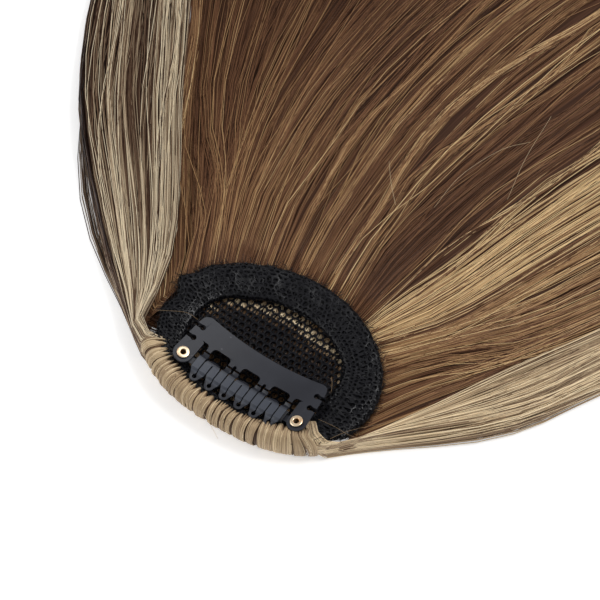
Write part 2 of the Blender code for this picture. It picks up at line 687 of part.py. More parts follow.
def fringe_point(across, along):
    """A place of the fringe's flow in plan, across from the left and along from the root."""
    shares = [index / (len(FRINGE_LINES) - 1) for index in range(len(FRINGE_LINES))]
    root_share = smooth(shares, [line[0] for line in FRINGE_LINES], across)
    root_x = CAP_MIDDLE_X + root_share * ROLL_HALF_WIDTH
    root_y = front_edge_y(root_x) + ROLL_UNDER + 2 * CLEARANCE
    angle = math.radians(smooth(shares, [line[1] for line in FRINGE_LINES], across))
    points = [Vector((root_x, root_y, 0)), cap_outline(angle, RIM_INSIDE),
              cap_outline(angle, RIM_OUTSIDE)]
    for column in range(2, 6):
        x = smooth(shares, [line[column][0] for line in FRINGE_LINES], across)
        y = smooth(shares, [line[column][1] for line in FRINGE_LINES], across)
        points.append(Vector((x * FAN_HALF_WIDTH, y * FAN_LENGTH, 0)))
    return along_points(FRINGE_STATIONS, points, along)


def lock_point(lines, stations, across, along):
    """A place of a temple lock's flow in plan."""
    shares = [line[0] for line in lines]
    points = []
    for column in range(1, 8):
        x = smooth(shares, [line[column][0] for line in lines], across)
        y = smooth(shares, [line[column][1] for line in lines], across)
        if column < 4:
            points.append(Vector((CAP_MIDDLE_X + x * CAP_HALF_WIDTH, y * CAP_HALF_WIDTH, 0)))
        else:
            points.append(Vector((x * FAN_HALF_WIDTH, y * FAN_LENGTH, 0)))
    return along_points(stations, points, along)


def along_points(stations, points, along):
    x = smooth(stations, [point.x for point in points], along)
    y = smooth(stations, [point.y for point in points], along)
    return Vector((x, y, 0))


def lock_ridge(column, along):
    """The ridge of each lock, low at its sides and more so towards the tips."""
    share = (column % LOCK_COLUMNS) / LOCK_COLUMNS
    rise = math.sin(math.pi * share) ** 0.7 if share else 0.0
    depth = VALLEY * (0.4 + 1.6 * along)
    return 1 - depth * (1 - rise)


def lock_ends(count, chooser):
    """Where each column of the locks ends: each lock has a length and a pointed tip."""
    lengths = [1 - TIP_SPREAD * chooser.random() for _ in range(count)]
    ends = []
    for column in range(count * LOCK_COLUMNS + 1):
        lock = min(column // LOCK_COLUMNS, count - 1)
        share = column / LOCK_COLUMNS - lock
        off_middle = abs(2 * share - 1)
        length = lengths[lock]
        if column % LOCK_COLUMNS == 0 and 0 < column < count * LOCK_COLUMNS:
            length = min(lengths[lock], lengths[lock - 1])
        ends.append(length * (1 - TIP_NOTCH * off_middle ** 1.5))
    return ends


def hair_sheet(name, locks, rows, place, height, seed, collection, material):
    """A sheet of fused locks with a flat underside on the surface it lies on."""
    ends = lock_ends(locks, random.Random(seed))
    shape = bmesh.new()
    columns = locks * LOCK_COLUMNS
    bmesh.ops.create_grid(shape, x_segments=columns, y_segments=len(rows) - 1, size=0.5)
    for vertex in shape.verts:
        column = round((vertex.co.x + 0.5) * columns)
        row = round((vertex.co.y + 0.5) * (len(rows) - 1))
        across = column / columns
        along = rows[row] * ends[column]
        if rows[row] < TIP_SPREAD_FROM:
            along = rows[row]
        point = place(across, along)
        point.z = height(point, along) * lock_ridge(column, rows[row])
        if row == len(rows) - 1:
            point.z = TIP_HEIGHT
        vertex.co = point
    rim = [edge for edge in shape.edges if edge.is_boundary]
    lowered = bmesh.ops.extrude_edge_only(shape, edges=rim)["geom"]
    for item in lowered:
        if isinstance(item, bmesh.types.BMVert):
            item.co.z = 0
    floor_rim = [item for item in lowered if isinstance(item, bmesh.types.BMEdge)
                 and item.is_boundary]
    bmesh.ops.edgeloop_fill(shape, edges=floor_rim)
    return new_object(name, shape, collection, material)


def fringe_height(point, along):
    """Thin under the cap, and as high as the band outside it."""
    if cap_share(point.x, point.y) < (RIM_INSIDE + RIM_OUTSIDE) / 2:
        return net_height(point.x, point.y) - NET_THICKNESS / 2 - CLEARANCE
    return HAIR_HEIGHT * read_columns(FRINGE_PROFILE, along)


def lock_height(_point, along):
    return LOCK_HEIGHT * read_columns(LOCK_PROFILE, along)


def build():
    clear_scene()
    part = new_collection(COLLECTION)
    cutters = new_collection(CUTTERS)
    netting = new_material("black_netting", (0.02, 0.02, 0.025), 0.7)
    steel = new_material("black_painted_steel", (0.06, 0.065, 0.08), 0.4, 0.3)
    rubber = new_material("black_rubber", (0.03, 0.03, 0.035), 0.6)
    brass = new_material("pale_brass", (0.95, 0.70, 0.45), 0.3, 1.0)
    brown = new_material("brown_hair", (0.22, 0.13, 0.08), 0.45)
    blonde = new_material("blonde_hair", (0.62, 0.48, 0.32), 0.45)

    net_cap(part, cutters, netting)
    rim_band(part, netting)
    clip_plate(part, steel)
    clip_bar(part, steel)
    bar_sleeve(part, rubber)
    eyelet("eyelet_left", -1, part, brass)
    eyelet("eyelet_right", 1, part, brass)

    outer_leg = LEGS_PER_UNIT * LEG_PITCH + (LEGS_PER_UNIT - 1) * LEG_PITCH / 2
    axle = bpy.data.objects.new("comb_axle", None)
    axle.location = (0, NUB_Y, PLATE_Z + clip_rise(outer_leg))
    part.objects.link(axle)
    for index, name in enumerate(("comb_left", "comb_middle", "comb_right")):
        comb_unit(name, (index - 1) * LEGS_PER_UNIT * LEG_PITCH, part, steel, axle)

    front_roll(part, blonde)
    hair_sheet("fringe", FRINGE_LOCKS, FRINGE_ROWS, fringe_point, fringe_height, HAIR_SEED,
               part, brown)
    for name, locks, lines, stations in (
            ("temple_lock_left", LEFT_LOCKS, LEFT_LOCK_LINES, LEFT_LOCK_STATIONS),
            ("temple_lock_right", RIGHT_LOCKS, RIGHT_LOCK_LINES, RIGHT_LOCK_STATIONS)):
        hair_sheet(name, locks, LOCK_ROWS,
                   lambda across, along, lines=lines, stations=stations:
                   lock_point(lines, stations, across, along),
                   lock_height, HAIR_SEED + 1, part, blonde)


build()
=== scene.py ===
"""The finish of clip-in bangs that lie with the inside up: hair, netting, lace and snap comb."""

import math

import bpy
import numpy as np
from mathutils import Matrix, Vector, noise


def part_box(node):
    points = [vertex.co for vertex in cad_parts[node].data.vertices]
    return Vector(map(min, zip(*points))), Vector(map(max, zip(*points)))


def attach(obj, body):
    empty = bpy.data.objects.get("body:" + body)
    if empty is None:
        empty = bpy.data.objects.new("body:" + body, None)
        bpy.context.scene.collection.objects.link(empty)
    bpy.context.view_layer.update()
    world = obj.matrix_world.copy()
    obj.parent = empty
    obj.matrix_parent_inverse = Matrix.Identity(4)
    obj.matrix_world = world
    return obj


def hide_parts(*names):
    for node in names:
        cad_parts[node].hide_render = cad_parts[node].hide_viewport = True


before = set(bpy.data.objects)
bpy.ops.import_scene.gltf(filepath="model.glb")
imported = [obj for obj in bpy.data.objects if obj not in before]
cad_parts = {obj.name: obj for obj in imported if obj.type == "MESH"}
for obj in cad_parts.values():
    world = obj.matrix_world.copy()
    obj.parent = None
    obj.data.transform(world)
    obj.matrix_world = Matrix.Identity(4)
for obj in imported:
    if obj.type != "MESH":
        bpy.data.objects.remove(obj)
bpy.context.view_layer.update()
# Without a seed, noise_vector would bend the net and lace another way on each run
noise.seed_set(1)

MM = 0.001
HAIR_BODY = "bangs"
COMB_BODY = "comb"

# The cap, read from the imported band, net and clip
BAND_LOW, BAND_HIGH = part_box("rim_band")
NET_LOW, NET_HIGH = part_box("net_cap")
PLATE_LOW, PLATE_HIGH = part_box("clip_plate")
CAP_MIDDLE_X = (BAND_LOW.x + BAND_HIGH.x) / 2
CAP_HALF_WIDTH = (BAND_HIGH.x - BAND_LOW.x) / 2
CAP_MIDDLE_Y = 11.0 * MM
CAP_BACK_DEPTH = BAND_HIGH.y - CAP_MIDDLE_Y
CAP_FRONT_DEPTH = CAP_MIDDLE_Y - BAND_LOW.y
CAP_BACK_POWER = 2.0
CAP_FRONT_POWER = 2.3
CLEARANCE = 0.3 * MM
NET_RISE = 1.7 * MM
NET_THICKNESS = 0.6 * MM
NET_MIDDLE_Z = NET_LOW.z + NET_THICKNESS / 2
BAND_SIDE_WIDTH = 7.3 * MM
BAND_BACK_WIDTH = 6.8 * MM
BAND_FRONT_WIDTH = 2.2 * MM
BAND_THICKNESS = 1.4 * MM

# Hair
HAIR_HEIGHT = 6.6 * MM
LOCK_HEIGHT = 7.4 * MM
FAN_HALF_WIDTH = 110.0 * MM
FAN_LENGTH = 170.0 * MM
ROLL_HALF_WIDTH = 20.2 * MM
ROLL_REACH = 3.6 * MM
ROLL_UNDER = 6.2 * MM
ROLL_STRANDS_END = 1.92
RIM_INSIDE = 1.012
RIM_OUTSIDE = 1.05
FLOOR_GAP = 0.12 * MM
BED_DEPTH = 0.5 * MM
BED_STEPS = 44
STRAND_STEPS = 13
LOCK_STEPS = 21

# The fan's flow lines from the left to the right.
# Columns: root x as a share of ROLL_HALF_WIDTH, the angle on the rim in degrees, then x and y as
# shares of FAN_HALF_WIDTH and FAN_LENGTH at four places further out: near, mid, far and tip.
FRINGE_LINES = (
    (-0.96, 167, (-0.287, 0.155), (-0.524, 0.374), (-0.753, 0.635), (-0.858, 0.955)),
    (-0.75, 150, (-0.300, 0.235), (-0.418, 0.418), (-0.527, 0.653), (-0.630, 0.925)),
    (-0.52, 137, (-0.255, 0.259), (-0.318, 0.447), (-0.336, 0.688), (-0.330, 0.920)),
    (-0.28, 122, (-0.186, 0.270), (-0.227, 0.465), (-0.209, 0.700), (-0.150, 0.915)),
    (0.00, 96, (-0.055, 0.282), (-0.073, 0.470), (-0.036, 0.700), (0.045, 0.920)),
    (0.28, 72, (0.059, 0.276), (0.091, 0.459), (0.173, 0.694), (0.265, 0.915)),
    (0.52, 49, (0.227, 0.224), (0.323, 0.388), (0.473, 0.653), (0.565, 0.915)),
    (0.75, 28, (0.286, 0.194), (0.423, 0.324), (0.627, 0.612), (0.735, 0.930)),
    (0.97, -14, (0.297, 0.110), (0.457, 0.307), (0.678, 0.598), (0.805, 0.940)),
)
FRINGE_STATIONS = (0.0, 0.165, 0.172, 0.265, 0.46, 0.70, 1.0)
# Columns: share of the way along, share of HAIR_HEIGHT.
FRINGE_PROFILE = ((0.17, 0.98), (0.27, 1.0), (0.46, 0.82), (0.70, 0.56), (0.90, 0.34), (1.0, 0.14))

# The temple locks' flow lines. Columns: the share across the lock, then x and y at nine places
# from the clip to the tip; the first five are shares of CAP_HALF_WIDTH, the others of the fan.
LEFT_LOCK_LINES = (
    (0.0, (-0.560, -0.075), (-0.745, -0.120), (-0.892, -0.095), (-1.055, 0.000), (-1.315, 0.175),
     (-0.432, 0.085), (-0.739, 0.287), (-0.955, 0.578), (-1.030, 1.080)),
    (0.5, (-0.560, 0.020), (-0.740, -0.010), (-0.872, -0.045), (-1.050, 0.035), (-1.185, 0.255),
     (-0.380, 0.122), (-0.652, 0.332), (-0.880, 0.606), (-0.985, 1.130)),
    (1.0, (-0.560, 0.110), (-0.735, 0.095), (-0.850, 0.040), (-1.045, 0.085), (-1.090, 0.350),
     (-0.312, 0.139), (-0.549, 0.363), (-0.779, 0.626), (-0.912, 1.070)),
)
LEFT_LOCK_STATIONS = (-0.07, -0.03, 0.0, 0.04, 0.075, 0.15, 0.37, 0.65, 1.0)
RIGHT_LOCK_LINES = (
    (0.0, (0.700, 0.120), (0.800, 0.036), (0.888, 0.036), (1.014, 0.128), (1.198, 0.411),
     (0.385, 0.207), (0.485, 0.324), (0.686, 0.594), (0.845, 1.060)),
    (0.5, (0.660, 0.095), (0.762, -0.005), (0.845, -0.022), (0.970, 0.088), (1.180, 0.330),
     (0.424, 0.175), (0.519, 0.286), (0.744, 0.582), (0.900, 1.110)),
    (1.0, (0.630, 0.070), (0.722, -0.040), (0.800, -0.080), (0.930, 0.062), (1.160, 0.274),
     (0.436, 0.142), (0.547, 0.260), (0.803, 0.567), (0.955, 1.040)),
)
RIGHT_LOCK_STATIONS = (-0.052, -0.037, -0.026, 0.0, 0.05, 0.18, 0.35, 0.65, 1.0)
# Columns: share of the way along, share of LOCK_HEIGHT.
LOCK_PROFILE = ((-0.07, 0.80), (-0.03, 0.86), (0.0, 0.96), (0.05, 1.0), (0.12, 0.92), (0.3, 0.82),
                (0.55, 0.62), (0.8, 0.38), (1.0, 0.12))

# The roll's outward reach. Columns: share of its half width, share of ROLL_REACH.
ROLL_SHAPE = ((-1.0, 1.0), (-0.5, 0.95), (0.0, 0.83), (0.5, 0.70), (0.8, 0.60), (1.0, 0.50))
# The roll's section from the clip outward and down. Columns: share of the reach, share of height.
ROLL_SECTION = ((-0.45, 0.88), (-0.12, 0.97), (0.25, 1.0), (0.60, 0.97), (0.88, 0.83),
                (1.0, 0.58), (0.90, 0.33), (0.52, 0.11), (-0.10, 0.02))

# Streaks that follow the fan's flow.
# Columns: share across, half width, tone, how many of the strands there have it.
FRINGE_STREAKS = (
    (0.14, 0.030, 0.50, 0.35),
    (0.27, 0.025, 0.52, 0.35),
    (0.36, 0.010, 0.24, 0.7),
    (0.405, 0.006, 0.66, 0.5),
    (0.440, 0.006, 0.66, 0.5),
    (0.478, 0.006, 0.68, 0.5),
    (0.548, 0.012, 0.74, 0.6),
    (0.590, 0.010, 0.66, 0.5),
    (0.645, 0.030, 0.30, 0.7),
    (0.720, 0.034, 0.90, 0.8),
    (0.790, 0.030, 0.74, 0.55),
    (0.865, 0.045, 0.62, 0.5),
    (0.955, 0.040, 0.52, 0.4),
)
LEFT_LOCK_STREAKS = (
    (0.02, 0.04, 0.72, 0.7),
    (0.20, 0.12, 0.84, 0.12),
    (0.50, 0.20, 0.86, 0.10),
    (0.88, 0.13, 0.90, 0.72),
)
RIGHT_LOCK_STREAKS = (
    (0.08, 0.10, 0.62, 0.5),
    (0.35, 0.15, 0.81, 0.8),
    (0.62, 0.08, 0.66, 0.6),
    (0.85, 0.15, 0.83, 0.8),
)


def signed_power(value, power):
    return np.sign(value) * np.abs(value) ** power


def ease(low, high, value):
    """0 below low, 1 above high and smooth between."""
    share = np.clip((np.asarray(value, float) - low) / (high - low), 0, 1)
    return share * share * (3 - 2 * share)


def read_curves(stations, values, place):
    """Read smooth curves through values at stations. values is one row, or a row for each place."""
    stations = np.asarray(stations, float)
    place = np.asarray(place, float)
    values = np.broadcast_to(np.asarray(values, float), (place.size, stations.size))
    steps = np.arange(stations.size)
    before = np.maximum(steps - 1, 0)
    after = np.minimum(steps + 1, stations.size - 1)
    slopes = (values[:, after] - values[:, before]) / (stations[after] - stations[before])
    inside = np.clip(place, stations[0], stations[-1])
    low = np.clip(np.searchsorted(stations, inside) - 1, 0, stations.size - 2)
    rows = np.arange(place.size)
    span = stations[low + 1] - stations[low]
    share = (inside - stations[low]) / span
    square = share ** 2
    cube = share ** 3
    start_rise = slopes[rows, low] * span
    end_rise = slopes[rows, low + 1] * span
    read = (values[rows, low] * (2 * cube - 3 * square + 1)
            + start_rise * (cube - 2 * square + share)
            + values[rows, low + 1] * (3 * square - 2 * cube)
            + end_rise * (cube - square))
    end_slope = np.where(place < inside, slopes[rows, 0], slopes[rows, -1])
    return read + end_slope * (place - inside)


def read_columns(table, place):
    place = np.asarray(place, float)
    stations = [row[0] for row in table]
    values = [row[1] for row in table]
    held = np.clip(place.ravel(), stations[0], stations[-1])
    return read_curves(stations, values, held).reshape(place.shape)


def cap_outline(angle, share=1.0, side=0.0, back=0.0, front=0.0):
    """Points of the cap's outline in plan, scaled by share and pulled in by the widths."""
    angle = np.asarray(angle, float)
    behind = np.sin(angle) >= 0
    power = np.where(behind, CAP_BACK_POWER, CAP_FRONT_POWER)
    depth = np.where(behind, CAP_BACK_DEPTH - back, CAP_FRONT_DEPTH - front)
    x = CAP_MIDDLE_X + (CAP_HALF_WIDTH - side) * share * signed_power(np.cos(angle), 2 / power)
    y = CAP_MIDDLE_Y + depth * share * signed_power(np.sin(angle), 2 / power)
    return x, y


def cap_share(x, y):
    """0 at the cap's middle and 1 on its outline."""
    behind = y >= CAP_MIDDLE_Y
    power = np.where(behind, CAP_BACK_POWER, CAP_FRONT_POWER)
    depth = np.where(behind, CAP_BACK_DEPTH, CAP_FRONT_DEPTH)
    across = np.abs((x - CAP_MIDDLE_X) / CAP_HALF_WIDTH) ** power
    along = np.abs((y - CAP_MIDDLE_Y) / depth) ** power
    return (across + along) ** (1 / power)


def net_height(x, y):
    """The height of the net's middle surface, a shallow bowl."""
    return NET_MIDDLE_Z + NET_RISE * np.minimum(cap_share(x, y), 1.0) ** 2


def band_height(x, y):
    """The height of the lace band's middle surface, which lies on the net."""
    return net_height(x, y) + NET_THICKNESS / 2 + CLEARANCE + BAND_THICKNESS / 2


def front_edge_y(x):
    across = np.minimum(np.abs(x - CAP_MIDDLE_X) / CAP_HALF_WIDTH, 1.0) ** CAP_FRONT_POWER
    return CAP_MIDDLE_Y - CAP_FRONT_DEPTH * (1 - across) ** (1 / CAP_FRONT_POWER)


def deselect():
    bpy.ops.object.select_all(action="DESELECT")


def make_active(piece):
    deselect()
    piece.select_set(True)
    bpy.context.view_layer.objects.active = piece


def face_outward():
    """Turn the faces of the active piece outward."""
    bpy.ops.object.mode_set(mode="EDIT")
    bpy.ops.mesh.select_all(action="SELECT")
    bpy.ops.mesh.normals_make_consistent(inside=False)
    bpy.ops.object.mode_set(mode="OBJECT")


def vertex_places(mesh):
    places = np.empty(len(mesh.vertices) * 3)
    mesh.vertices.foreach_get("co", places)
    return places.reshape(-1, 3)


def set_flow_map(mesh, across, along):
    """Name the mesh's layout and let it hold each vertex's shares across and along the flow."""
    flow_map = mesh.uv_layers.active
    flow_map.name = "flow"
    corner = np.empty(len(mesh.loops), np.int32)
    mesh.loops.foreach_get("vertex_index", corner)
    flow_map.uv.foreach_set("vector", np.column_stack((across, along))[corner].ravel())


def finish_piece(piece, material, body=HAIR_BODY):
    """Give a modelled piece its finish and let it ride on its body."""
    piece.data.materials.clear()
    piece.data.materials.append(material)
    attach(piece, body)
    return piece


# Materials


def new_material(name, roughness):
    """A material and a function that adds its nodes, with sockets set by name."""
    made = bpy.data.materials.new(name)
    made.use_nodes = True
    tree = made.node_tree
    shader = tree.nodes["Principled BSDF"]
    shader.inputs["Roughness"].default_value = roughness

    def add(kind, links=(), **settings):
        node = tree.nodes.new(kind)
        for key, value in settings.items():
            if hasattr(node, key):
                setattr(node, key, value)
            else:
                node.inputs[key.replace("_", " ")].default_value = value
        for socket, source in links:
            tree.links.new(source, node.inputs[socket])
        return node

    def join(source, target):
        tree.links.new(source, target)

    return made, shader, add, join


def colour_ramp(node, stops):
    """Set a ramp's stops. Columns: position, linear colour."""
    elements = node.color_ramp.elements
    while len(elements) > 1:
        elements.remove(elements[-1])
    elements[0].position = stops[0][0]
    elements[0].color = (*stops[0][1], 1)
    for position, colour in stops[1:]:
        elements.new(position).color = (*colour, 1)


BROWN_TONES = (
    (0.0, (0.016, 0.007, 0.004)),
    (0.25, (0.066, 0.028, 0.0145)),
    (0.5, (0.182, 0.086, 0.0425)),
    (0.75, (0.42, 0.255, 0.120)),
    (1.0, (0.77, 0.57, 0.31)),
)
BLONDE_TONES = (
    (0.0, (0.026, 0.013, 0.008)),
    (0.3, (0.120, 0.066, 0.038)),
    (0.55, (0.275, 0.188, 0.114)),
    (0.8, (0.50, 0.370, 0.225)),
    (1.0, (0.80, 0.65, 0.43)),
)
ASH_TONES = (
    (0.0, (0.020, 0.009, 0.006)),
    (0.3, (0.095, 0.048, 0.029)),
    (0.55, (0.210, 0.135, 0.083)),
    (0.8, (0.46, 0.355, 0.235)),
    (1.0, (0.80, 0.68, 0.49)),
)
# The golden ramp runs brighter than the blonde one: painted light on the hair behind the net
GOLDEN_TONES = (
    (0.0, (0.020, 0.009, 0.005)),
    (0.5, (0.30, 0.17, 0.08)),
    (1.0, (1.0, 0.84, 0.58)),
)


def strand_material(name, tones, roughness, gloss_level=0.11):
    """Single strands: tone from each strand, a little darker and lighter along it."""
    made, shader, add, join = new_material(name, roughness)
    shader.inputs["Specular IOR Level"].default_value = gloss_level
    tone = add("ShaderNodeAttribute", attribute_name="tone")
    place = add("ShaderNodeTexCoord")
    flecks = add("ShaderNodeTexNoise", [("Vector", place.outputs["Object"])], Scale=50.0,
                 Detail=2.0)
    shift = add("ShaderNodeMath", [(0, flecks.outputs["Fac"])], operation="MULTIPLY_ADD")
    shift.inputs[1].default_value = 0.16
    shift.inputs[2].default_value = -0.08
    total = add("ShaderNodeMath", [(0, tone.outputs["Fac"]), (1, shift.outputs["Value"])],
                operation="ADD")
    ramp = add("ShaderNodeValToRGB", [("Fac", total.outputs["Value"])])
    colour_ramp(ramp, tones)
    join(ramp.outputs["Color"], shader.inputs["Base Color"])
    gloss = add("ShaderNodeMapRange", [("Value", flecks.outputs["Fac"])], To_Min=roughness - 0.07,
                To_Max=roughness + 0.09)
    join(gloss.outputs["Result"], shader.inputs["Roughness"])
    return made


def bed_material(name, tones, low, high, painted_shade_under_cap=1.0):
    """The hair under the top strands: fine streaks along the flow, with their own relief. Its tones
    run darker than the strands above it, as painted shade between them, and under the cap it is
    scaled darker still, as painted shade.
    """
    made, shader, add, join = new_material(name, 0.55)
    shader.inputs["Specular IOR Level"].default_value = 0.1
    flow = add("ShaderNodeUVMap", uv_map="flow")
    streaks = []
    for wide, long in ((520.0, 5.0), (130.0, 2.5)):
        stretch = add("ShaderNodeMapping", [("Vector", flow.outputs["UV"])])
        stretch.inputs["Scale"].default_value = (wide, long, 1.0)
        streaks.append(add("ShaderNodeTexNoise", [("Vector", stretch.outputs["Vector"])],
                           Scale=1.0, Detail=2.0))
    both = add("ShaderNodeMath", [(0, streaks[0].outputs["Fac"]), (1, streaks[1].outputs["Fac"])],
               operation="ADD")
    spread = add("ShaderNodeMapRange", [("Value", both.outputs["Value"])], From_Min=0.75,
                 From_Max=1.3, To_Min=low, To_Max=high)
    # Painted shade: the bed's tone is scaled down under the cap, before 0.13 to 0.18 of the way
    # along
    split = add("ShaderNodeSeparateXYZ", [("Vector", flow.outputs["UV"])])
    depth = add("ShaderNodeMapRange", [("Value", split.outputs["Y"])], From_Min=0.13,
                From_Max=0.18, To_Min=painted_shade_under_cap)
    shade = add("ShaderNodeMath", [(0, spread.outputs["Result"]), (1, depth.outputs["Result"])],
                operation="MULTIPLY")
    ramp = add("ShaderNodeValToRGB", [("Fac", shade.outputs["Value"])])
    colour_ramp(ramp, tones)
    join(ramp.outputs["Color"], shader.inputs["Base Color"])
    relief = add("ShaderNodeBump", [("Height", both.outputs["Value"])], Distance=0.0002,
                 Strength=0.7)
    join(relief.outputs["Normal"], shader.inputs["Normal"])
    return made


def netting_material(name, colour, roughness, twist_scale, gloss_level=0.16):
    """Black nylon thread: a soft gloss and the fine relief of its twist."""
    made, shader, add, join = new_material(name, roughness)
    shader.inputs["Specular IOR Level"].default_value = gloss_level
    place = add("ShaderNodeTexCoord")
    twist = add("ShaderNodeTexNoise", [("Vector", place.outputs["Object"])], Scale=twist_scale,
                Detail=2.0)
    shade = add("ShaderNodeValToRGB", [("Fac", twist.outputs["Fac"])])
    colour_ramp(shade, ((0.3, tuple(0.55 * part for part in colour)),
                        (0.7, tuple(1.8 * part for part in colour))))
    join(shade.outputs["Color"], shader.inputs["Base Color"])
    gloss = add("ShaderNodeMapRange", [("Value", twist.outputs["Fac"])], To_Min=roughness - 0.1,
                To_Max=roughness + 0.15)
    join(gloss.outputs["Result"], shader.inputs["Roughness"])
    relief = add("ShaderNodeBump", [("Height", twist.outputs["Fac"])], Distance=0.0001,
                 Strength=0.5)
    join(relief.outputs["Normal"], shader.inputs["Normal"])
    return made


def band_core_material():
    """Layers of folded black lace, deep inside the band: threads round small holes painted darker,
    as shade inside the folds.
    """
    made, shader, add, join = new_material("band_folds", 0.5)
    shader.inputs["Specular IOR Level"].default_value = 0.12
    place = add("ShaderNodeTexCoord")
    holes = add("ShaderNodeTexVoronoi", [("Vector", place.outputs["Object"])],
                feature="DISTANCE_TO_EDGE", Scale=1250.0)
    threads = add("ShaderNodeValToRGB", [("Fac", holes.outputs["Distance"])])
    colour_ramp(threads, ((0.04, (0.011, 0.011, 0.014)), (0.13, (0.0008, 0.0008, 0.001))))
    join(threads.outputs["Color"], shader.inputs["Base Color"])
    relief = add("ShaderNodeBump", [("Height", threads.outputs["Color"])], Distance=0.0003,
                 Strength=0.8)
    join(relief.outputs["Normal"], shader.inputs["Normal"])
    return made


def teeth_highlight_enamel_material(base_enamel):
    """The clip's enamel on the teeth, with a painted highlight: paler where they ride level over
    the bar.
    """
    made = base_enamel.copy()
    made.name = "teeth_enamel"
    tree = made.node_tree
    shader = tree.nodes["Principled BSDF"]
    place = tree.nodes.new("ShaderNodeTexCoord")
    split = tree.nodes.new("ShaderNodeSeparateXYZ")
    tree.links.new(place.outputs["Object"], split.inputs["Vector"])
    # Painted highlight: the teeth are paler between about -2 and 1 mm in y, where they lie over the
    # bar
    painted_highlight = tree.nodes.new("ShaderNodeValToRGB")
    span = tree.nodes.new("ShaderNodeMapRange")
    span.inputs["From Min"].default_value = -4.0 * MM
    span.inputs["From Max"].default_value = 4.0 * MM
    tree.links.new(split.outputs["Y"], span.inputs["Value"])
    tree.links.new(span.outputs["Result"], painted_highlight.inputs["Fac"])
    colour_ramp(painted_highlight, ((0.19, (0, 0, 0)), (0.26, (1, 1, 1)), (0.60, (1, 1, 1)),
                       (0.68, (0, 0, 0))))
    mixed_enamel = tree.nodes.new("ShaderNodeMix")
    mixed_enamel.data_type = "RGBA"
    source = shader.inputs["Base Color"].links[0].from_socket
    tree.links.new(painted_highlight.outputs["Color"], mixed_enamel.inputs["Factor"])
    tree.links.new(source, mixed_enamel.inputs[6])
    mixed_enamel.inputs[7].default_value = (0.045, 0.051, 0.066, 1)
    tree.links.new(mixed_enamel.outputs[2], shader.inputs["Base Color"])
    return made


def enamel_material():
    """Satin black enamel on spring steel, with orange peel and dust."""
    made, shader, add, join = new_material("clip_enamel", 0.34)
    shader.inputs["Specular IOR Level"].default_value = 0.42
    place = add("ShaderNodeTexCoord")
    cloud = add("ShaderNodeTexNoise", [("Vector", place.outputs["Object"])], Scale=120.0,
                Detail=4.0)
    base = add("ShaderNodeValToRGB", [("Fac", cloud.outputs["Fac"])])
    colour_ramp(base, ((0.3, (0.014, 0.015, 0.021)), (0.7, (0.021, 0.023, 0.031))))
    specks = add("ShaderNodeTexVoronoi", [("Vector", place.outputs["Object"])], Scale=420.0)
    dust = add("ShaderNodeMapRange", [("Value", specks.outputs["Distance"])], From_Min=0.10,
               From_Max=0.05)
    dusty = add("ShaderNodeMix", data_type="RGBA")
    join(dust.outputs["Result"], dusty.inputs["Factor"])
    join(base.outputs["Color"], dusty.inputs[6])
    dusty.inputs[7].default_value = (0.07, 0.07, 0.08, 1)
    join(dusty.outputs[2], shader.inputs["Base Color"])
    gloss = add("ShaderNodeMapRange", [("Value", cloud.outputs["Fac"])], To_Min=0.27, To_Max=0.42)
    join(gloss.outputs["Result"], shader.inputs["Roughness"])
    peel = add("ShaderNodeTexNoise", [("Vector", place.outputs["Object"])], Scale=1500.0,
               Detail=2.0)
    relief = add("ShaderNodeBump", [("Height", peel.outputs["Fac"])], Distance=0.00002,
                 Strength=0.4)
    join(relief.outputs["Normal"], shader.inputs["Normal"])
    return made


def rubber_material():
    made, shader, add, join = new_material("sleeve_rubber", 0.7)
    place = add("ShaderNodeTexCoord")
    grain = add("ShaderNodeTexNoise", [("Vector", place.outputs["Object"])], Scale=1800.0,
                Detail=3.0)
    base = add("ShaderNodeValToRGB", [("Fac", grain.outputs["Fac"])])
    colour_ramp(base, ((0.3, (0.012, 0.012, 0.014)), (0.7, (0.026, 0.026, 0.030))))
    join(base.outputs["Color"], shader.inputs["Base Color"])
    relief = add("ShaderNodeBump", [("Height", grain.outputs["Fac"])], Distance=0.00004,
                 Strength=0.6)
    join(relief.outputs["Normal"], shader.inputs["Normal"])
    return made


def brass_material():
    """Pale brass of the eyelets, with slight tarnish."""
    made, shader, add, join = new_material("eyelet_brass", 0.3)
    shader.inputs["Metallic"].default_value = 1.0
    place = add("ShaderNodeTexCoord")
    cloud = add("ShaderNodeTexNoise", [("Vector", place.outputs["Object"])], Scale=700.0,
                Detail=4.0)
    base = add("ShaderNodeValToRGB", [("Fac", cloud.outputs["Fac"])])
    colour_ramp(base, ((0.25, (0.78, 0.50, 0.27)), (0.55, (0.98, 0.78, 0.55)),
                       (0.8, (1.0, 0.86, 0.66))))
    join(base.outputs["Color"], shader.inputs["Base Color"])
    gloss = add("ShaderNodeMapRange", [("Value", cloud.outputs["Fac"])], To_Min=0.42, To_Max=0.24)
    join(gloss.outputs["Result"], shader.inputs["Roughness"])
    relief = add("ShaderNodeBump", [("Height", cloud.outputs["Fac"])], Distance=0.00002,
                 Strength=0.5)
    join(relief.outputs["Normal"], shader.inputs["Normal"])
    return made


# Strands


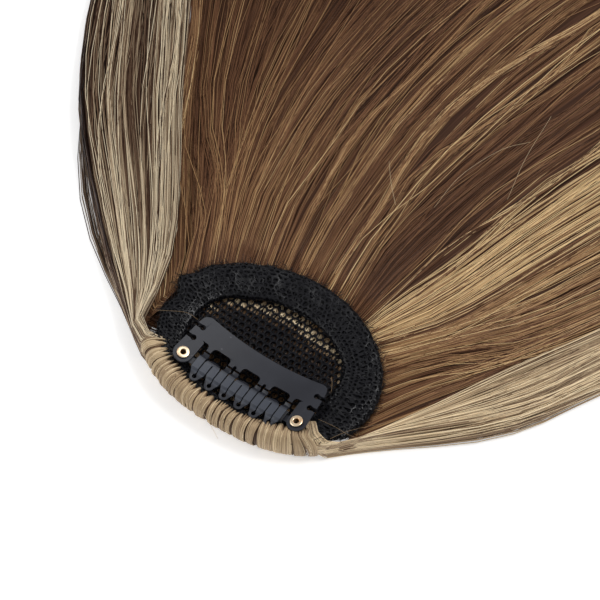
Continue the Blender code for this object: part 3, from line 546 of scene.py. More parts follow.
def strand_tubes(name, paths, widths, tones, reference=(0.0, 0.0, 1.0)):
    """Closed three-sided tubes along many paths, joined in one mesh.

    paths has a place for each strand and step, widths and tones a number for each.
    reference is a direction, or one for each strand, that no path runs along.
    """
    count, steps = paths.shape[:2]
    sides = 3
    ahead = np.gradient(paths, axis=1)
    ahead /= np.linalg.norm(ahead, axis=2, keepdims=True)
    reference = np.broadcast_to(np.asarray(reference, float), (count, 3))[:, None, :]
    sideways = np.cross(reference, ahead)
    sideways /= np.maximum(np.linalg.norm(sideways, axis=2, keepdims=True), 1e-9)
    upward = np.cross(ahead, sideways)
    corners = np.empty((count, steps, sides, 3))
    for side in range(sides):
        turn = math.pi / 2 + 2 * math.pi * side / sides
        out = math.cos(turn) * sideways + math.sin(turn) * upward
        corners[:, :, side] = paths + out * (widths / 2)[:, :, None]
    per_strand = steps * sides
    first = (np.arange(count) * per_strand)[:, None, None]
    ring = (np.arange(steps - 1) * sides)[None, :, None]
    side = np.arange(sides)[None, None, :]
    following = (side + 1) % sides
    low = first + ring
    quads = np.stack((low + side, low + following, low + sides + following, low + sides + side),
                     axis=-1).reshape(-1, 4)
    starts = (np.arange(count) * per_strand)[:, None]
    root_caps = starts + np.array((2, 1, 0))
    tip_caps = starts + (steps - 1) * sides + np.array((0, 1, 2))
    mesh = bpy.data.meshes.new(name)
    mesh.vertices.add(count * per_strand)
    mesh.vertices.foreach_set("co", corners.ravel())
    corner_list = np.concatenate((quads.ravel(), root_caps.ravel(), tip_caps.ravel()))
    sizes = np.concatenate((np.full(len(quads), 4), np.full(2 * count, 3)))
    mesh.loops.add(len(corner_list))
    mesh.loops.foreach_set("vertex_index", corner_list)
    mesh.polygons.add(len(sizes))
    mesh.polygons.foreach_set("loop_start", np.concatenate(((0,), np.cumsum(sizes)[:-1])))
    mesh.polygons.foreach_set("use_smooth", np.ones(len(sizes), bool))
    mesh.update(calc_edges=True)
    tone = mesh.attributes.new("tone", "FLOAT", "POINT")
    tone.data.foreach_set("value", np.repeat(tones, sides, axis=1).ravel())
    lay_out_strands(mesh, count, steps, sides)
    piece = bpy.data.objects.new(name, mesh)
    bpy.context.scene.collection.objects.link(piece)
    return piece


def lay_out_strands(mesh, count, steps, sides):
    """A flat layout with a square for each strand, its length up and its sides across."""
    across = math.ceil(math.sqrt(count))
    edge = 0.08
    strand = np.arange(count)
    corner = np.stack((strand % across, strand // across), axis=-1) / across
    size = (1 - 2 * edge) / across
    ring = np.arange(steps - 1)[None, :, None]
    side = np.arange(sides)[None, None, :]
    square = np.empty((count, steps - 1, sides, 4, 2))
    for index, (right, up) in enumerate(((0, 0), (1, 0), (1, 1), (0, 1))):
        square[..., index, 0] = (side + right) / sides
        square[..., index, 1] = (ring + up) / (steps - 1)
    low = corner + edge / across
    quads = low[:, None, None, None, :] + square * size
    caps = []
    for base in (edge * 0.2, 1 - edge * 0.8):
        shape = np.array(((0.3, 0.0), (0.7, 0.0), (0.5, edge * 0.6)))
        caps.append(corner[:, None, :] + (shape + (0, base)) / across)
    places = np.concatenate((quads.reshape(-1, 2), caps[0].reshape(-1, 2), caps[1].reshape(-1, 2)))
    layout = mesh.uv_layers.new(name="OFBake")
    layout.uv.foreach_set("vector", places.ravel())


def taper(along, root, tip):
    """A strand's width along its length, as a share: thin at the root and at the tip."""
    return np.clip(along / root, 0.25, 1) * np.clip((1 - along) / tip, 0.12, 1) ** 0.6


def fringe_flow(across, along):
    """Places of the fan's flow in plan. Left of 0 it runs in beneath the left lock."""
    across = np.where(across < 0, across * (1 - 0.9 * ease(0.24, 0.50, along)), across)
    shares = np.linspace(0, 1, len(FRINGE_LINES))
    root_x = CAP_MIDDLE_X + ROLL_HALF_WIDTH * read_curves(
        shares, [line[0] for line in FRINGE_LINES], across)
    root_y = front_edge_y(root_x) + ROLL_UNDER + 2 * CLEARANCE
    angle = np.radians(read_curves(shares, [line[1] for line in FRINGE_LINES], across))
    inside = cap_outline(angle, RIM_INSIDE)
    outside = cap_outline(angle, RIM_OUTSIDE)
    places = []
    for axis, size in ((0, FAN_HALF_WIDTH), (1, FAN_LENGTH)):
        columns = [(root_x, root_y)[axis], inside[axis], outside[axis]]
        for column in range(2, 6):
            shares_out = [line[column][axis] for line in FRINGE_LINES]
            columns.append(size * read_curves(shares, shares_out, across))
        places.append(read_curves(FRINGE_STATIONS, np.stack(columns, axis=-1), along))
    return np.stack(places, axis=-1)


def lock_flow(lines, stations):
    """A function that gives places of a temple lock's flow in plan."""
    shares = [line[0] for line in lines]

    def flow(across, along):
        places = []
        for axis, size in ((0, FAN_HALF_WIDTH), (1, FAN_LENGTH)):
            columns = []
            for column in range(1, 10):
                share = read_curves(shares, [line[column][axis] for line in lines], across)
                if column < 6:
                    middle = CAP_MIDDLE_X if axis == 0 else 0
                    columns.append(middle + share * CAP_HALF_WIDTH)
                else:
                    columns.append(share * size)
            places.append(read_curves(stations, np.stack(columns, axis=-1), along))
        return np.stack(places, axis=-1)

    return flow


def rounded_side(from_edge, width, drop):
    """1 inside a sheet of hair, falling round by a drop at the edge that from_edge starts at."""
    off = np.clip(1 - from_edge / width, 0, 1)
    return 1 - drop * (1 - (1 - off ** 2.4) ** (1 / 2.4))


def beside_hair(along):
    """How far a side drops that has other hair beside it: little, until the hair spreads."""
    return 0.12 + 0.88 * ease(0.5, 0.8, along)


def fringe_top(place, across, along):
    """The fan's top surface: under the net and band inside the rim, as high as the band outside."""
    share = cap_share(place[..., 0], place[..., 1])
    low = net_height(place[..., 0], place[..., 1]) - NET_THICKNESS / 2 - CLEARANCE / 2
    low = low + 0.5 * MM * ease(0.9, 1.0, share)
    high = HAIR_HEIGHT * read_columns(FRINGE_PROFILE, along)
    outside = np.maximum(ease(0.99, 1.09, share), ease(0.20, 0.24, along))
    drop = beside_hair(along)
    under_lock = np.maximum(drop, 0.32)
    high = high * rounded_side(across, 0.05, under_lock) * rounded_side(1 - across, 0.035, drop)
    return low + (high - low) * outside


def lock_top(outer_at_zero, start_height=0.0, start_drop=1.0):
    """A function for a temple lock's top surface, with its outer side at across 0 or 1.

    start_height is the least share of its height by the clip, and start_drop how far the outer
    side has come down there.
    """

    def top(place, across, along):
        held = start_height * (1 - ease(0.05, 0.2, along))
        height = LOCK_HEIGHT * np.maximum(read_columns(LOCK_PROFILE, along), held)
        outer = across if outer_at_zero else 1 - across
        wide = 0.14 + 0.7 * (1 - ease(0.03, 0.16, along))
        inner_drop = np.maximum(beside_hair(along), 0.5 * (1 - ease(0.02, 0.08, along)))
        drop = start_drop + (1 - start_drop) * ease(-0.04, -0.005, along)
        outer_side = rounded_side(outer, wide, drop)
        return height * outer_side * rounded_side(1 - outer, 0.12, inner_drop)

    return top


def gathered(chooser, count, clumps, low=0.0, high=1.0):
    """Each strand's share across and the number, middle and place of the clump that it is in."""
    across = (np.arange(count) + chooser.random(count)) / count
    edges = np.sort(chooser.random(clumps - 1))
    even = np.arange(1, clumps) / clumps
    edges = 0.6 * even + 0.4 * edges
    clump = np.searchsorted(edges, across)
    bounds = np.concatenate(((0,), edges, (1,)))
    middle = (bounds[clump] + bounds[clump + 1]) / 2
    half = (bounds[clump + 1] - bounds[clump]) / 2
    off = (across - middle) / half
    return low + (high - low) * across, clump, low + (high - low) * middle, off


def streak_tones(chooser, across, clump, streaks, base, spread, fine):
    """A tone for each strand: its clump's, its own part and the streaks that it lies in."""
    by_clump = chooser.normal(0, spread, clump.max() + 1)
    tone = base + by_clump[clump] + chooser.normal(0, fine, across.size)
    for middle, half, value, part in streaks:
        chance = part * np.exp(-((across - middle) / half) ** 4)
        taken = chooser.random(across.size) < chance
        tone = np.where(taken, value + chooser.normal(0, fine, across.size), tone)
    return tone


def mixed(chooser, clump, tones, parts):
    """One of a few tones for each clump, in the given parts."""
    return chooser.choice(tones, clump.max() + 1, p=parts)[clump]


def hair_strands(flow, top, seed, count, clumps, along_range, pull, sway, depth, bend, bunch=1.4,
                 drift=None, steps=STRAND_STEPS, across_range=(0.0, 1.0)):
    """Paths of strands on a flow.

    Given with them are each strand's share across, its clump, its shares along, how near the top
    it lies from 0 to 1, and the random chooser.
    """
    chooser = np.random.default_rng(seed)
    across, clump, middle, off = gathered(chooser, count, clumps, *across_range)
    start, end = along_range
    ends = end - 0.05 * chooser.random(count) - 0.07 * np.abs(off) ** 1.5 * chooser.random(count)
    starts = start + 0.004 * chooser.random(count)
    share = np.linspace(0, 1, steps)[None, :] ** bunch
    along = starts[:, None] + (ends - starts)[:, None] * share
    gather = pull * ease(0.15, 0.75, along)
    path_across = across[:, None] + (middle - across)[:, None] * gather
    if drift is not None:
        path_across = path_across + drift(chooser, across, along)
    flat_across, flat_along = path_across.ravel(), along.ravel()
    place = flow(flat_across, flat_along)
    beside = flow(flat_across + 0.01, flat_along) - place
    beside /= np.linalg.norm(beside, axis=1, keepdims=True)
    place = place.reshape(count, steps, 2)
    beside = beside.reshape(count, steps, 2)
    free = ease(start + 0.02, start + 0.22, along)
    wander = np.zeros_like(along)
    for group, reach in ((clump, sway), (np.arange(count), sway * 0.45)):
        size = group.max() + 1
        phase = chooser.random(size)[group][:, None]
        turns = (1.2 + 1.3 * chooser.random(size))[group][:, None]
        amount = (reach * chooser.normal(0, 1, size))[group][:, None]
        wander += amount * np.sin(2 * math.pi * (turns * along + phase)) * free
    loose = chooser.random(count) < 0.05
    amount = np.where(loose, chooser.normal(0, bend, count), 0)[:, None]
    wander += amount * np.sin(math.pi * np.clip((along - start) / (end - start), 0, 1)) * free
    low_side, high_side = across_range
    from_side = np.minimum(path_across - low_side, high_side - path_across)
    wander *= 0.25 + 0.75 * ease(0.0, 0.12, from_side)
    place = place + beside * wander[:, :, None]
    height = top(place, np.clip(path_across, 0, 1), along)
    lowered = depth * chooser.random(count) ** 1.3
    by_clump = chooser.random(clump.max() + 1)[clump]
    sunk = lowered + 0.45 * depth * by_clump + 0.5 * depth * off ** 2
    sunk = np.where(loose, 0.0, sunk)
    under = sunk[:, None] * ease(start, start + 0.06, along)
    height = height - under * np.clip(height / (3 * MM), 0.25, 1)
    height = np.maximum(height, FLOOR_GAP + 0.3 * MM * chooser.random(count)[:, None])
    paths = np.concatenate((place, height[:, :, None]), axis=2)
    return paths, across, clump, along, 1 - sunk / sunk.max(), chooser


def hair_bed(name, flow, top, along_range, columns, node, material, sides):
    """The body of the hair under its strands: a closed sheet on the floor that keeps the form."""
    rows = BED_STEPS
    bpy.ops.mesh.primitive_grid_add(x_subdivisions=columns, y_subdivisions=rows, size=1.0)
    bed = bpy.context.active_object
    bed.name = name
    mesh = bed.data
    places = vertex_places(mesh)
    across = places[:, 0] + 0.5
    share = places[:, 1] + 0.5
    start, end = along_range
    along = start + (end - start) * share ** 1.25
    set_flow_map(mesh, across, along)
    inset = sides[0] + (sides[1] - sides[0]) * across
    plan = flow(inset, along)
    height = top(plan, np.clip(inset, 0, 1), along)
    ridges = 0.5 - 0.5 * np.cos(2 * math.pi * across * columns / 4)
    sunk = BED_DEPTH + 0.25 * MM * ridges
    height = np.maximum(height - np.minimum(sunk, 0.4 * height), 0.3 * MM)
    mesh.vertices.foreach_set("co", np.column_stack((plan, height)).ravel())
    make_active(bed)
    bpy.ops.object.mode_set(mode="EDIT")
    bpy.ops.mesh.select_all(action="SELECT")
    bpy.ops.mesh.extrude_region()
    bpy.ops.object.mode_set(mode="OBJECT")
    lowered = [vertex for vertex in mesh.vertices if vertex.select]
    for vertex in lowered:
        vertex.co.z = FLOOR_GAP / 2
    face_outward()
    bpy.ops.object.shade_smooth_by_angle(angle=math.radians(50))
    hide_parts(node)
    return finish_piece(bed, material)


# Camera, light and floor

CAMERA_LENS = 100.0
CAMERA_SENSOR = 36.0
CAMERA_AZIMUTH = math.radians(34.5)
CAMERA_ELEVATION = math.radians(58.5)
CAMERA_DISTANCE = 338.07 * MM
CAMERA_AIM = Vector((1.8, 19.2, 18.2)) * MM


def set_camera():
    data = bpy.data.cameras.new("camera")
    data.lens = CAMERA_LENS
    data.sensor_width = CAMERA_SENSOR
    data.clip_start = 0.01
    camera = bpy.data.objects.new("camera", data)
    bpy.context.scene.collection.objects.link(camera)
    back = Vector((math.sin(CAMERA_AZIMUTH) * math.cos(CAMERA_ELEVATION),
                   -math.cos(CAMERA_AZIMUTH) * math.cos(CAMERA_ELEVATION),
                   math.sin(CAMERA_ELEVATION)))
    camera.location = CAMERA_AIM + back * CAMERA_DISTANCE
    camera.rotation_euler = (math.pi / 2 - CAMERA_ELEVATION, 0, CAMERA_AZIMUTH)
    bpy.context.scene.camera = camera


def set_floor():
    deselect()
    bpy.ops.mesh.primitive_plane_add(size=3.0, location=(0, 0, -0.02 * MM))
    floor = bpy.context.active_object
    floor.name = "floor"
    made, shader, _add, _join = new_material("pale_table", 0.9)
    shader.inputs["Base Color"].default_value = (0.9, 0.9, 0.9, 1)
    shader.inputs["Emission Color"].default_value = (1, 1, 1, 1)
    shader.inputs["Emission Strength"].default_value = 0.4
    shader.inputs["Specular IOR Level"].default_value = 0.1
    floor.data.materials.append(made)


def add_light(name, place, size, power):
    data = bpy.data.lights.new(name, "AREA")
    data.size = size
    data.energy = power
    light = bpy.data.objects.new(name, data)
    bpy.context.scene.collection.objects.link(light)
    light.location = place
    light.rotation_euler = (-Vector(place)).to_track_quat("-Z", "Y").to_euler()


def set_light():
    world = bpy.data.worlds.new("studio")
    bpy.context.scene.world = world
    world.use_nodes = True
    world.node_tree.nodes["Background"].inputs["Color"].default_value = (1, 1, 1, 1)
    world.node_tree.nodes["Background"].inputs["Strength"].default_value = 0.46
    add_light("key", (0.50, 0.42, 0.85), 0.45, 6.3)
    add_light("top", (-0.04, 0.48, 0.95), 0.40, 0.9)
    add_light("fill", (-0.80, -0.45, 0.60), 0.9, 4.0)
    bpy.context.scene.view_settings.view_transform = "Standard"


# Pieces


def fringe_drift(chooser, across, along):
    """Near the rim the strands at the two sides come from nearer the middle."""
    straight = chooser.random(across.size) < 0.35
    left = np.where(straight, 0, 0.11 * np.exp(-((across - 0.06) / 0.13) ** 2))
    right = -0.05 * np.exp(-((across - 0.93) / 0.08) ** 2)
    return (left + right)[:, None] * (1 - ease(0.17, 0.42, along))


def make_fringe(material, bed):
    hair_bed("fringe_bed", fringe_flow, fringe_top, along_range=(-0.035, 0.945), columns=116,
             node="fringe", material=bed, sides=(-0.20, 0.994))
    count = 5000
    paths, across, clump, along, near_top, chooser = hair_strands(
        fringe_flow, fringe_top, seed=11, count=count, clumps=190, along_range=(0.150, 1.0),
        pull=0.32, sway=0.9 * MM, depth=0.45 * MM, bend=2.2 * MM, bunch=1.5, drift=fringe_drift,
        across_range=(-0.20, 1.03))
    tone = streak_tones(chooser, across, clump, FRINGE_STREAKS, base=0.40, spread=0.06,
                        fine=0.105)
    # Painted shade: strands that lie deeper are darker; the topmost few are lighter strands
    tone = tone + 0.10 * (near_top - 0.6) + 0.18 * ease(0.97, 0.99, near_top)
    tone = tone - 0.05 * (1 - ease(0.22, 0.36, across))
    outward = 0.06 - 0.15 * (1 - ease(0.40, 0.52, across))
    tones = tone[:, None] + outward[:, None] * ease(0.28, 0.7, along)
    thick = 0.185 * MM * (0.75 + 0.5 * chooser.random(count))
    widths = thick[:, None] * taper((along - 0.15) / 0.85, 0.01, 0.25)
    for index, name in enumerate(("left", "middle", "right")):
        part = slice(index * count // 3, (index + 1) * count // 3)
        piece = strand_tubes("fringe_strands_" + name, paths[part], widths[part], tones[part])
        finish_piece(piece, material)


def left_drift(chooser, across, along):
    """About a third of the strands lie straighter than the lock, and cross to its inner side."""
    crossing = chooser.random(across.size) < 0.3
    amount = np.where(crossing, 0.45 * (1 - across) * chooser.random(across.size), 0)
    return amount[:, None] * ease(0.18, 0.5, along) - 0.35 * amount[:, None] * ease(
        0.05, 0.2, along)


def make_left_lock(material, bed):
    flow = lock_flow(LEFT_LOCK_LINES, LEFT_LOCK_STATIONS)
    top = lock_top(True)
    hair_bed("left_lock_bed", flow, top, along_range=(0.0, 0.92), columns=40,
             node="temple_lock_left", material=bed, sides=(0.03, 0.994))
    count = 1150
    paths, across, clump, along, near_top, chooser = hair_strands(
        flow, top, seed=21, count=count, clumps=64, along_range=(-0.07, 1.0), pull=0.42,
        sway=0.6 * MM, depth=0.7 * MM, bend=1.4 * MM, bunch=1.6, drift=left_drift,
        steps=LOCK_STEPS, across_range=(0.0, 1.02))
    base = mixed(chooser, clump, (0.10, 0.33, 0.52, 0.84), (0.36, 0.32, 0.16, 0.16))
    tone = streak_tones(chooser, across, clump, LEFT_LOCK_STREAKS, base, spread=0.05,
                        fine=0.09)
    # Painted shade: strands that lie deeper are darker; the topmost few are lighter strands
    tone = tone + 0.10 * (near_top - 0.62) + 0.42 * ease(0.97, 0.99, near_top)
    faded = 0.24 * (1 - ease(0.62, 0.78, across))
    near_clip = 0.04 * (1 - ease(0.06, 0.22, along))
    tones = tone[:, None] + near_clip - faded[:, None] * ease(0.14, 0.34, along)
    thick = 0.19 * MM * (0.7 + 0.5 * chooser.random(count))
    widths = thick[:, None] * taper((along + 0.07) / 1.07, 0.01, 0.25)
    piece = strand_tubes("left_lock_strands", paths, widths, tones)
    finish_piece(piece, material)


def make_right_lock(material, bed):
    flow = lock_flow(RIGHT_LOCK_LINES, RIGHT_LOCK_STATIONS)
    top = lock_top(False, start_height=0.96, start_drop=0.1)
    hair_bed("right_lock_bed", flow, top, along_range=(0.10, 0.92), columns=32,
             node="temple_lock_right", material=bed, sides=(0.05, 0.90))
    count = 1020
    paths, across, clump, along, near_top, chooser = hair_strands(
        flow, top, seed=31, count=count, clumps=50, along_range=(-0.052, 1.0), pull=0.55,
        sway=0.7 * MM, depth=0.5 * MM, bend=1.6 * MM, bunch=2.0, steps=LOCK_STEPS,
        across_range=(-0.04, 1.0))
    tone = streak_tones(chooser, across, clump, RIGHT_LOCK_STREAKS, base=0.40, spread=0.12,
                        fine=0.09)
    # Painted shade: strands that lie deeper are darker; the topmost few are lighter strands
    tone = tone + 0.12 * (near_top - 0.6) + 0.25 * ease(0.97, 0.99, near_top)
    near_clip = 0.10 * (1 - ease(0.0, 0.10, along))
    tones = tone[:, None] + near_clip
    thick = 0.21 * MM * (0.8 + 0.5 * chooser.random(count))
    widths = thick[:, None] * taper((along + 0.06) / 1.06, 0.01, 0.25)
    piece = strand_tubes("right_lock_strands", paths, widths, tones)
    finish_piece(piece, material)


def make_corner_hair(material):
    """Brown hair that comes out from under the band at its left front, beneath the lock."""
    chooser = np.random.default_rng(71)
    count, steps = 90, 6
    angle = np.radians(183 + 30 * chooser.random(count))[:, None]
    along = np.linspace(0, 1, steps)[None, :]
    x, y = cap_outline(angle, 0.90 + 0.36 * along)
    y = y + 3.0 * MM * along ** 2
    height = 4.7 * MM - 1.9 * MM * along - 0.7 * MM * chooser.random(count)[:, None]
    tones = 0.36 + 0.10 * chooser.normal(0, 1, count)[:, None] + 0 * along
    piece = strand_tubes("corner_hair", np.stack((x, y, height), axis=-1),
                         np.full((count, steps), 0.26 * MM), tones)
    finish_piece(piece, material)


def roll_frame(share):
    """Places on the front edge and the outward direction there, for shares along the roll."""
    x = CAP_MIDDLE_X + share * ROLL_HALF_WIDTH
    y = front_edge_y(x)
    step = 0.5 * MM
    rise = front_edge_y(x + step) - y
    length = np.hypot(step, rise)
    return x, y, rise / length, -step / length


def roll_places(share, section_share, sunk):
    """Places on the roll's surface at shares along it and round its section."""
    x, y, out_x, out_y = roll_frame(share)
    stations = np.linspace(0, 1, len(ROLL_SECTION))
    out = read_curves(stations, [row[0] for row in ROLL_SECTION], section_share)
    up = read_curves(stations, [row[1] for row in ROLL_SECTION], section_share)
    right = ease(0.1, 0.6, share)
    corner = ease(0.45, 0.80, share)
    lip = band_height(x, y) + BAND_THICKNESS / 2 + CLEARANCE
    lip = lip + (0.7 + 0.6 * right + 0.25 * corner) * MM
    reach = ROLL_REACH * read_columns(ROLL_SHAPE, share)
    out = out - (0.25 * right + 0.4 * corner) * np.clip(1 - 5 * section_share, 0, 1)
    middle = 0.45
    out = middle + (out - middle) * (1 - sunk / reach)
    up = 0.5 + (up - 0.5) * (1 - sunk / lip)
    return np.column_stack((x + out_x * out * reach, y + out_y * out * reach,
                            np.maximum(up * lip, FLOOR_GAP)))


def make_roll(material, bed):
    rows, columns = 14, 120
    bpy.ops.mesh.primitive_grid_add(x_subdivisions=columns, y_subdivisions=rows, size=1.0)
    body = bpy.context.active_object
    body.name = "roll_bed"
    mesh = body.data
    places = vertex_places(mesh)
    share = places[:, 0] * (ROLL_STRANDS_END - 0.03) + ROLL_STRANDS_END / 2 - 1
    around = places[:, 1] + 0.5
    ridges = 0.12 * MM * np.cos(share * 97) + 0.08 * MM * np.cos(share * 211 + 1)
    plan = roll_places(share, around, 0.9 * MM + ridges)
    set_flow_map(mesh, share * 0.25, around * 0.3)
    mesh.vertices.foreach_set("co", plan.ravel())
    make_active(body)
    bpy.ops.object.mode_set(mode="EDIT")
    bpy.ops.mesh.select_all(action="SELECT")
    bpy.ops.mesh.region_to_loop()
    bpy.ops.mesh.edge_face_add()
    bpy.ops.object.mode_set(mode="OBJECT")
    face_outward()
    bpy.ops.object.shade_smooth_by_angle(angle=math.radians(50))
    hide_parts("front_roll")
    finish_piece(body, bed)

    chooser = np.random.default_rng(41)
    count, steps = 1050, 12
    across, clump, middle, off = gathered(chooser, count, 44)
    around = np.linspace(0.0, 0.97, steps)[None, :]
    gather = 0.42 * (1 - ease(0.05, 0.30, around)) + 0.30 * ease(0.42, 0.75, around)
    gather = gather * (1 - 0.6 * ease(0.35, 0.8, across))[:, None]
    share = ROLL_STRANDS_END * (across[:, None] + (middle - across)[:, None] * gather) - 1
    slant = (chooser.normal(0, 0.022, clump.max() + 1)[clump] + chooser.normal(0, 0.007, count))
    lean = -0.05 * np.exp(-((across - 0.02) / 0.09) ** 2)
    bow = chooser.normal(0, 0.012, clump.max() + 1)[clump][:, None] * np.sin(math.pi * around)
    share = share + (slant + lean)[:, None] * around + bow
    share = share + 0.10 * ease(0.86, 1.0, across)[:, None] * ease(0.1, 0.7, around)
    sunk = 0.32 * MM * chooser.random(count) ** 1.4 + 0.34 * MM * off ** 2
    sunk = sunk + 0.22 * MM * chooser.random(clump.max() + 1)[clump]
    edges = 1 + 0.7 * ease(0.45, 0.7, around) + 0.8 * (1 - ease(0.05, 0.25, around))
    smoother = 1 - 0.6 * ease(0.35, 0.75, across)
    sunk = sunk[:, None] * edges * smoother[:, None]
    around = np.repeat(around, count, axis=0)
    paths = roll_places(share.ravel(), around.ravel(), sunk.ravel()).reshape(count, steps, 3)
    out_x, out_y = roll_frame(ROLL_STRANDS_END * across - 1)[2:]
    along_edge = np.column_stack((-out_y, out_x, np.zeros(count)))
    tone = 0.76 + chooser.normal(0, 0.05, clump.max() + 1)[clump] + chooser.normal(0, 0.12, count)
    tone = tone - 0.05 * ease(0.4, 0.8, across)
    # Painted shade: strands at a tuft's edges are darker near the clip, in the gaps between tufts
    tones = tone[:, None] - 0.45 * (1 - ease(0.04, 0.22, around)) * off[:, None] ** 2
    widths = (0.2 * MM * (0.8 + 0.4 * chooser.random(count)))[:, None] * np.ones((1, steps))
    piece = strand_tubes("roll_strands", paths, widths, tones, along_edge)
    finish_piece(piece, material)


# The golden hair behind the net. Columns: x, then y where it begins and ends, in millimetres.
CRESCENT = ((-17.8, 14.2, 16.4), (-13.9, 16.7, 20.3), (-7.0, 18.9, 23.6), (-2.4, 19.8, 24.0),
            (1.9, 18.5, 23.8), (6.9, 18.0, 22.8), (10.6, 17.6, 21.0), (13.0, 16.4, 19.6),
            (16.2, 13.4, 16.5))


def crescent_inner(x):
    return np.interp(x, [row[0] * MM for row in CRESCENT], [row[1] * MM for row in CRESCENT])


def crescent_outer(x):
    return np.interp(x, [row[0] * MM for row in CRESCENT], [row[2] * MM for row in CRESCENT])


def make_under_net(material):
    """Hair seen through the net: golden in the clip's windows and by the band, where the golden
    tones are painted brighter than the hair's own colour as painted light, and near black between,
    as painted shade.
    """
    chooser = np.random.default_rng(51)
    count, steps = 430, 11
    across = (np.arange(count) + chooser.random(count)) / count
    share = 1 - np.linspace(1, 0, steps) ** 1.4
    along = (-0.045 + 0.195 * share)[None, :] + np.zeros((count, 1))
    path_across = across[:, None] + 0.03 * np.sin(
        2 * math.pi * (along * 9 + chooser.random(count)[:, None]))
    plan = fringe_flow(np.clip(path_across, 0.0, 1).ravel(), along.ravel())
    place = plan.reshape(count, steps, 2)
    under = net_height(place[..., 0], place[..., 1]) - NET_THICKNESS / 2
    height = under - (0.14 * MM + 0.3 * MM * chooser.random(count))[:, None]
    paths = np.concatenate((place, height[:, :, None]), axis=2)
    near = crescent_inner(place[..., 0])
    far = crescent_outer(place[..., 0])
    crescent = ease(-0.5 * MM, 0.3 * MM, place[..., 1] - near)
    crescent *= 1 - ease(-0.4 * MM, 0.9 * MM, place[..., 1] - far)
    front = 1 - ease(4.0 * MM, 5.4 * MM, place[..., 1])
    # Painted shade: the hair away from the crescent and windows is set near black; the gold added
    # by the band and in the windows is painted light on blonde hair
    tone = 0.0 + 0.05 * chooser.normal(0, 1, count)
    gold = 1.0 + 0.12 * chooser.normal(0, 1, count)
    tones = tone[:, None] + np.maximum(crescent, 0.6 * front) * gold[:, None]
    widths = np.full((count, steps), 0.28 * MM)
    piece = strand_tubes("under_net_hair", paths, widths, tones)
    finish_piece(piece, material)


# Net and lace

NET_PITCH = 1.62 * MM
NET_STRAND = 0.33 * MM
THREAD_THICKNESS = 0.3 * MM


def hexagon_cells(name, pitch, columns, rows, low_x, low_y):
    """A flat sheet of six-sided cells, merged where they meet."""
    radius = pitch / math.sqrt(3)
    deselect()
    bpy.ops.mesh.primitive_circle_add(vertices=6, radius=radius, fill_type="NGON",
                                      location=(0, 0, 0))
    sheet = bpy.context.active_object
    sheet.name = name
    for count, offset in ((2, (pitch / 2, 1.5 * radius, 0)), (columns, (pitch, 0, 0)),
                          ((rows + 1) // 2, (0, 3 * radius, 0))):
        copies = sheet.modifiers.new("copies", "ARRAY")
        copies.count = count
        copies.use_relative_offset = False
        copies.use_constant_offset = True
        copies.constant_offset_displace = offset
        copies.use_merge_vertices = True
        copies.merge_threshold = radius / 50
        bpy.ops.object.modifier_apply(modifier=copies.name)
    for vertex in sheet.data.vertices:
        vertex.co.x += low_x
        vertex.co.y += low_y
    return sheet


def open_cells(sheet, keep, strand):
    """Cut away the cells that keep refuses and open the others, down to strands."""
    make_active(sheet)
    bpy.ops.object.mode_set(mode="EDIT")
    bpy.ops.mesh.select_mode(type="FACE")
    bpy.ops.mesh.select_all(action="DESELECT")
    bpy.ops.object.mode_set(mode="OBJECT")
    for face in sheet.data.polygons:
        face.select = not keep(face.center)
    bpy.ops.object.mode_set(mode="EDIT")
    bpy.ops.mesh.delete(type="FACE")
    bpy.ops.mesh.select_all(action="SELECT")
    bpy.ops.mesh.inset(thickness=strand / 2, use_individual=True, use_boundary=True)
    bpy.ops.mesh.delete(type="FACE")
    bpy.ops.object.mode_set(mode="OBJECT")


def thicken(sheet, thickness, levels):
    make_active(sheet)
    wall = sheet.modifiers.new("wall", "SOLIDIFY")
    wall.thickness = thickness
    wall.offset = 0
    bpy.ops.object.modifier_apply(modifier=wall.name)
    if levels:
        rounding = sheet.modifiers.new("rounding", "SUBSURF")
        rounding.levels = levels
        rounding.render_levels = levels
        bpy.ops.object.modifier_apply(modifier=rounding.name)
    bpy.ops.object.shade_smooth_by_angle(angle=math.radians(60))


def on_cap(x, y):
    return cap_share(x, y) < 0.9


def in_second_layer(x, y):
    return cap_share(x, y) < 0.8 and 5 * MM < y < crescent_inner(x) + 1.6 * MM


def make_net(name, material, keep, shift_x, shift_y, lower, strand, levels, node=None):
    """One layer of the net, bent to the bowl of the cap."""
    radius = NET_PITCH / math.sqrt(3)
    columns = int(2 * CAP_HALF_WIDTH / NET_PITCH) + 2
    rows = int((CAP_BACK_DEPTH + CAP_FRONT_DEPTH) / (1.5 * radius)) + 2
    net = hexagon_cells(name, NET_PITCH, columns, rows, CAP_MIDDLE_X - CAP_HALF_WIDTH + shift_x,
                        CAP_MIDDLE_Y - CAP_FRONT_DEPTH + shift_y)
    open_cells(net, lambda middle: keep(middle.x, middle.y), strand)
    thicken(net, THREAD_THICKNESS, levels)
    mesh = net.data
    places = vertex_places(mesh)
    wave = 0.12 * MM
    for row in places:
        stir = noise.noise_vector(Vector((row[0], row[1], lower)) * 260)
        row[0] += wave * stir.x
        row[1] += wave * stir.y
        row[2] += 0.6 * wave * stir.z
    places[:, 2] += net_height(places[:, 0], places[:, 1]) - lower
    mesh.vertices.foreach_set("co", places.ravel())
    mesh.update()
    if node:
        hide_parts(node)
    return finish_piece(net, material)


def bump(angle, middle, half):
    """A smooth bump round an angle, both in degrees, for angles in radians."""
    off = np.remainder(np.degrees(angle) - middle + 180, 360) - 180
    return np.exp(-(off / half) ** 2)


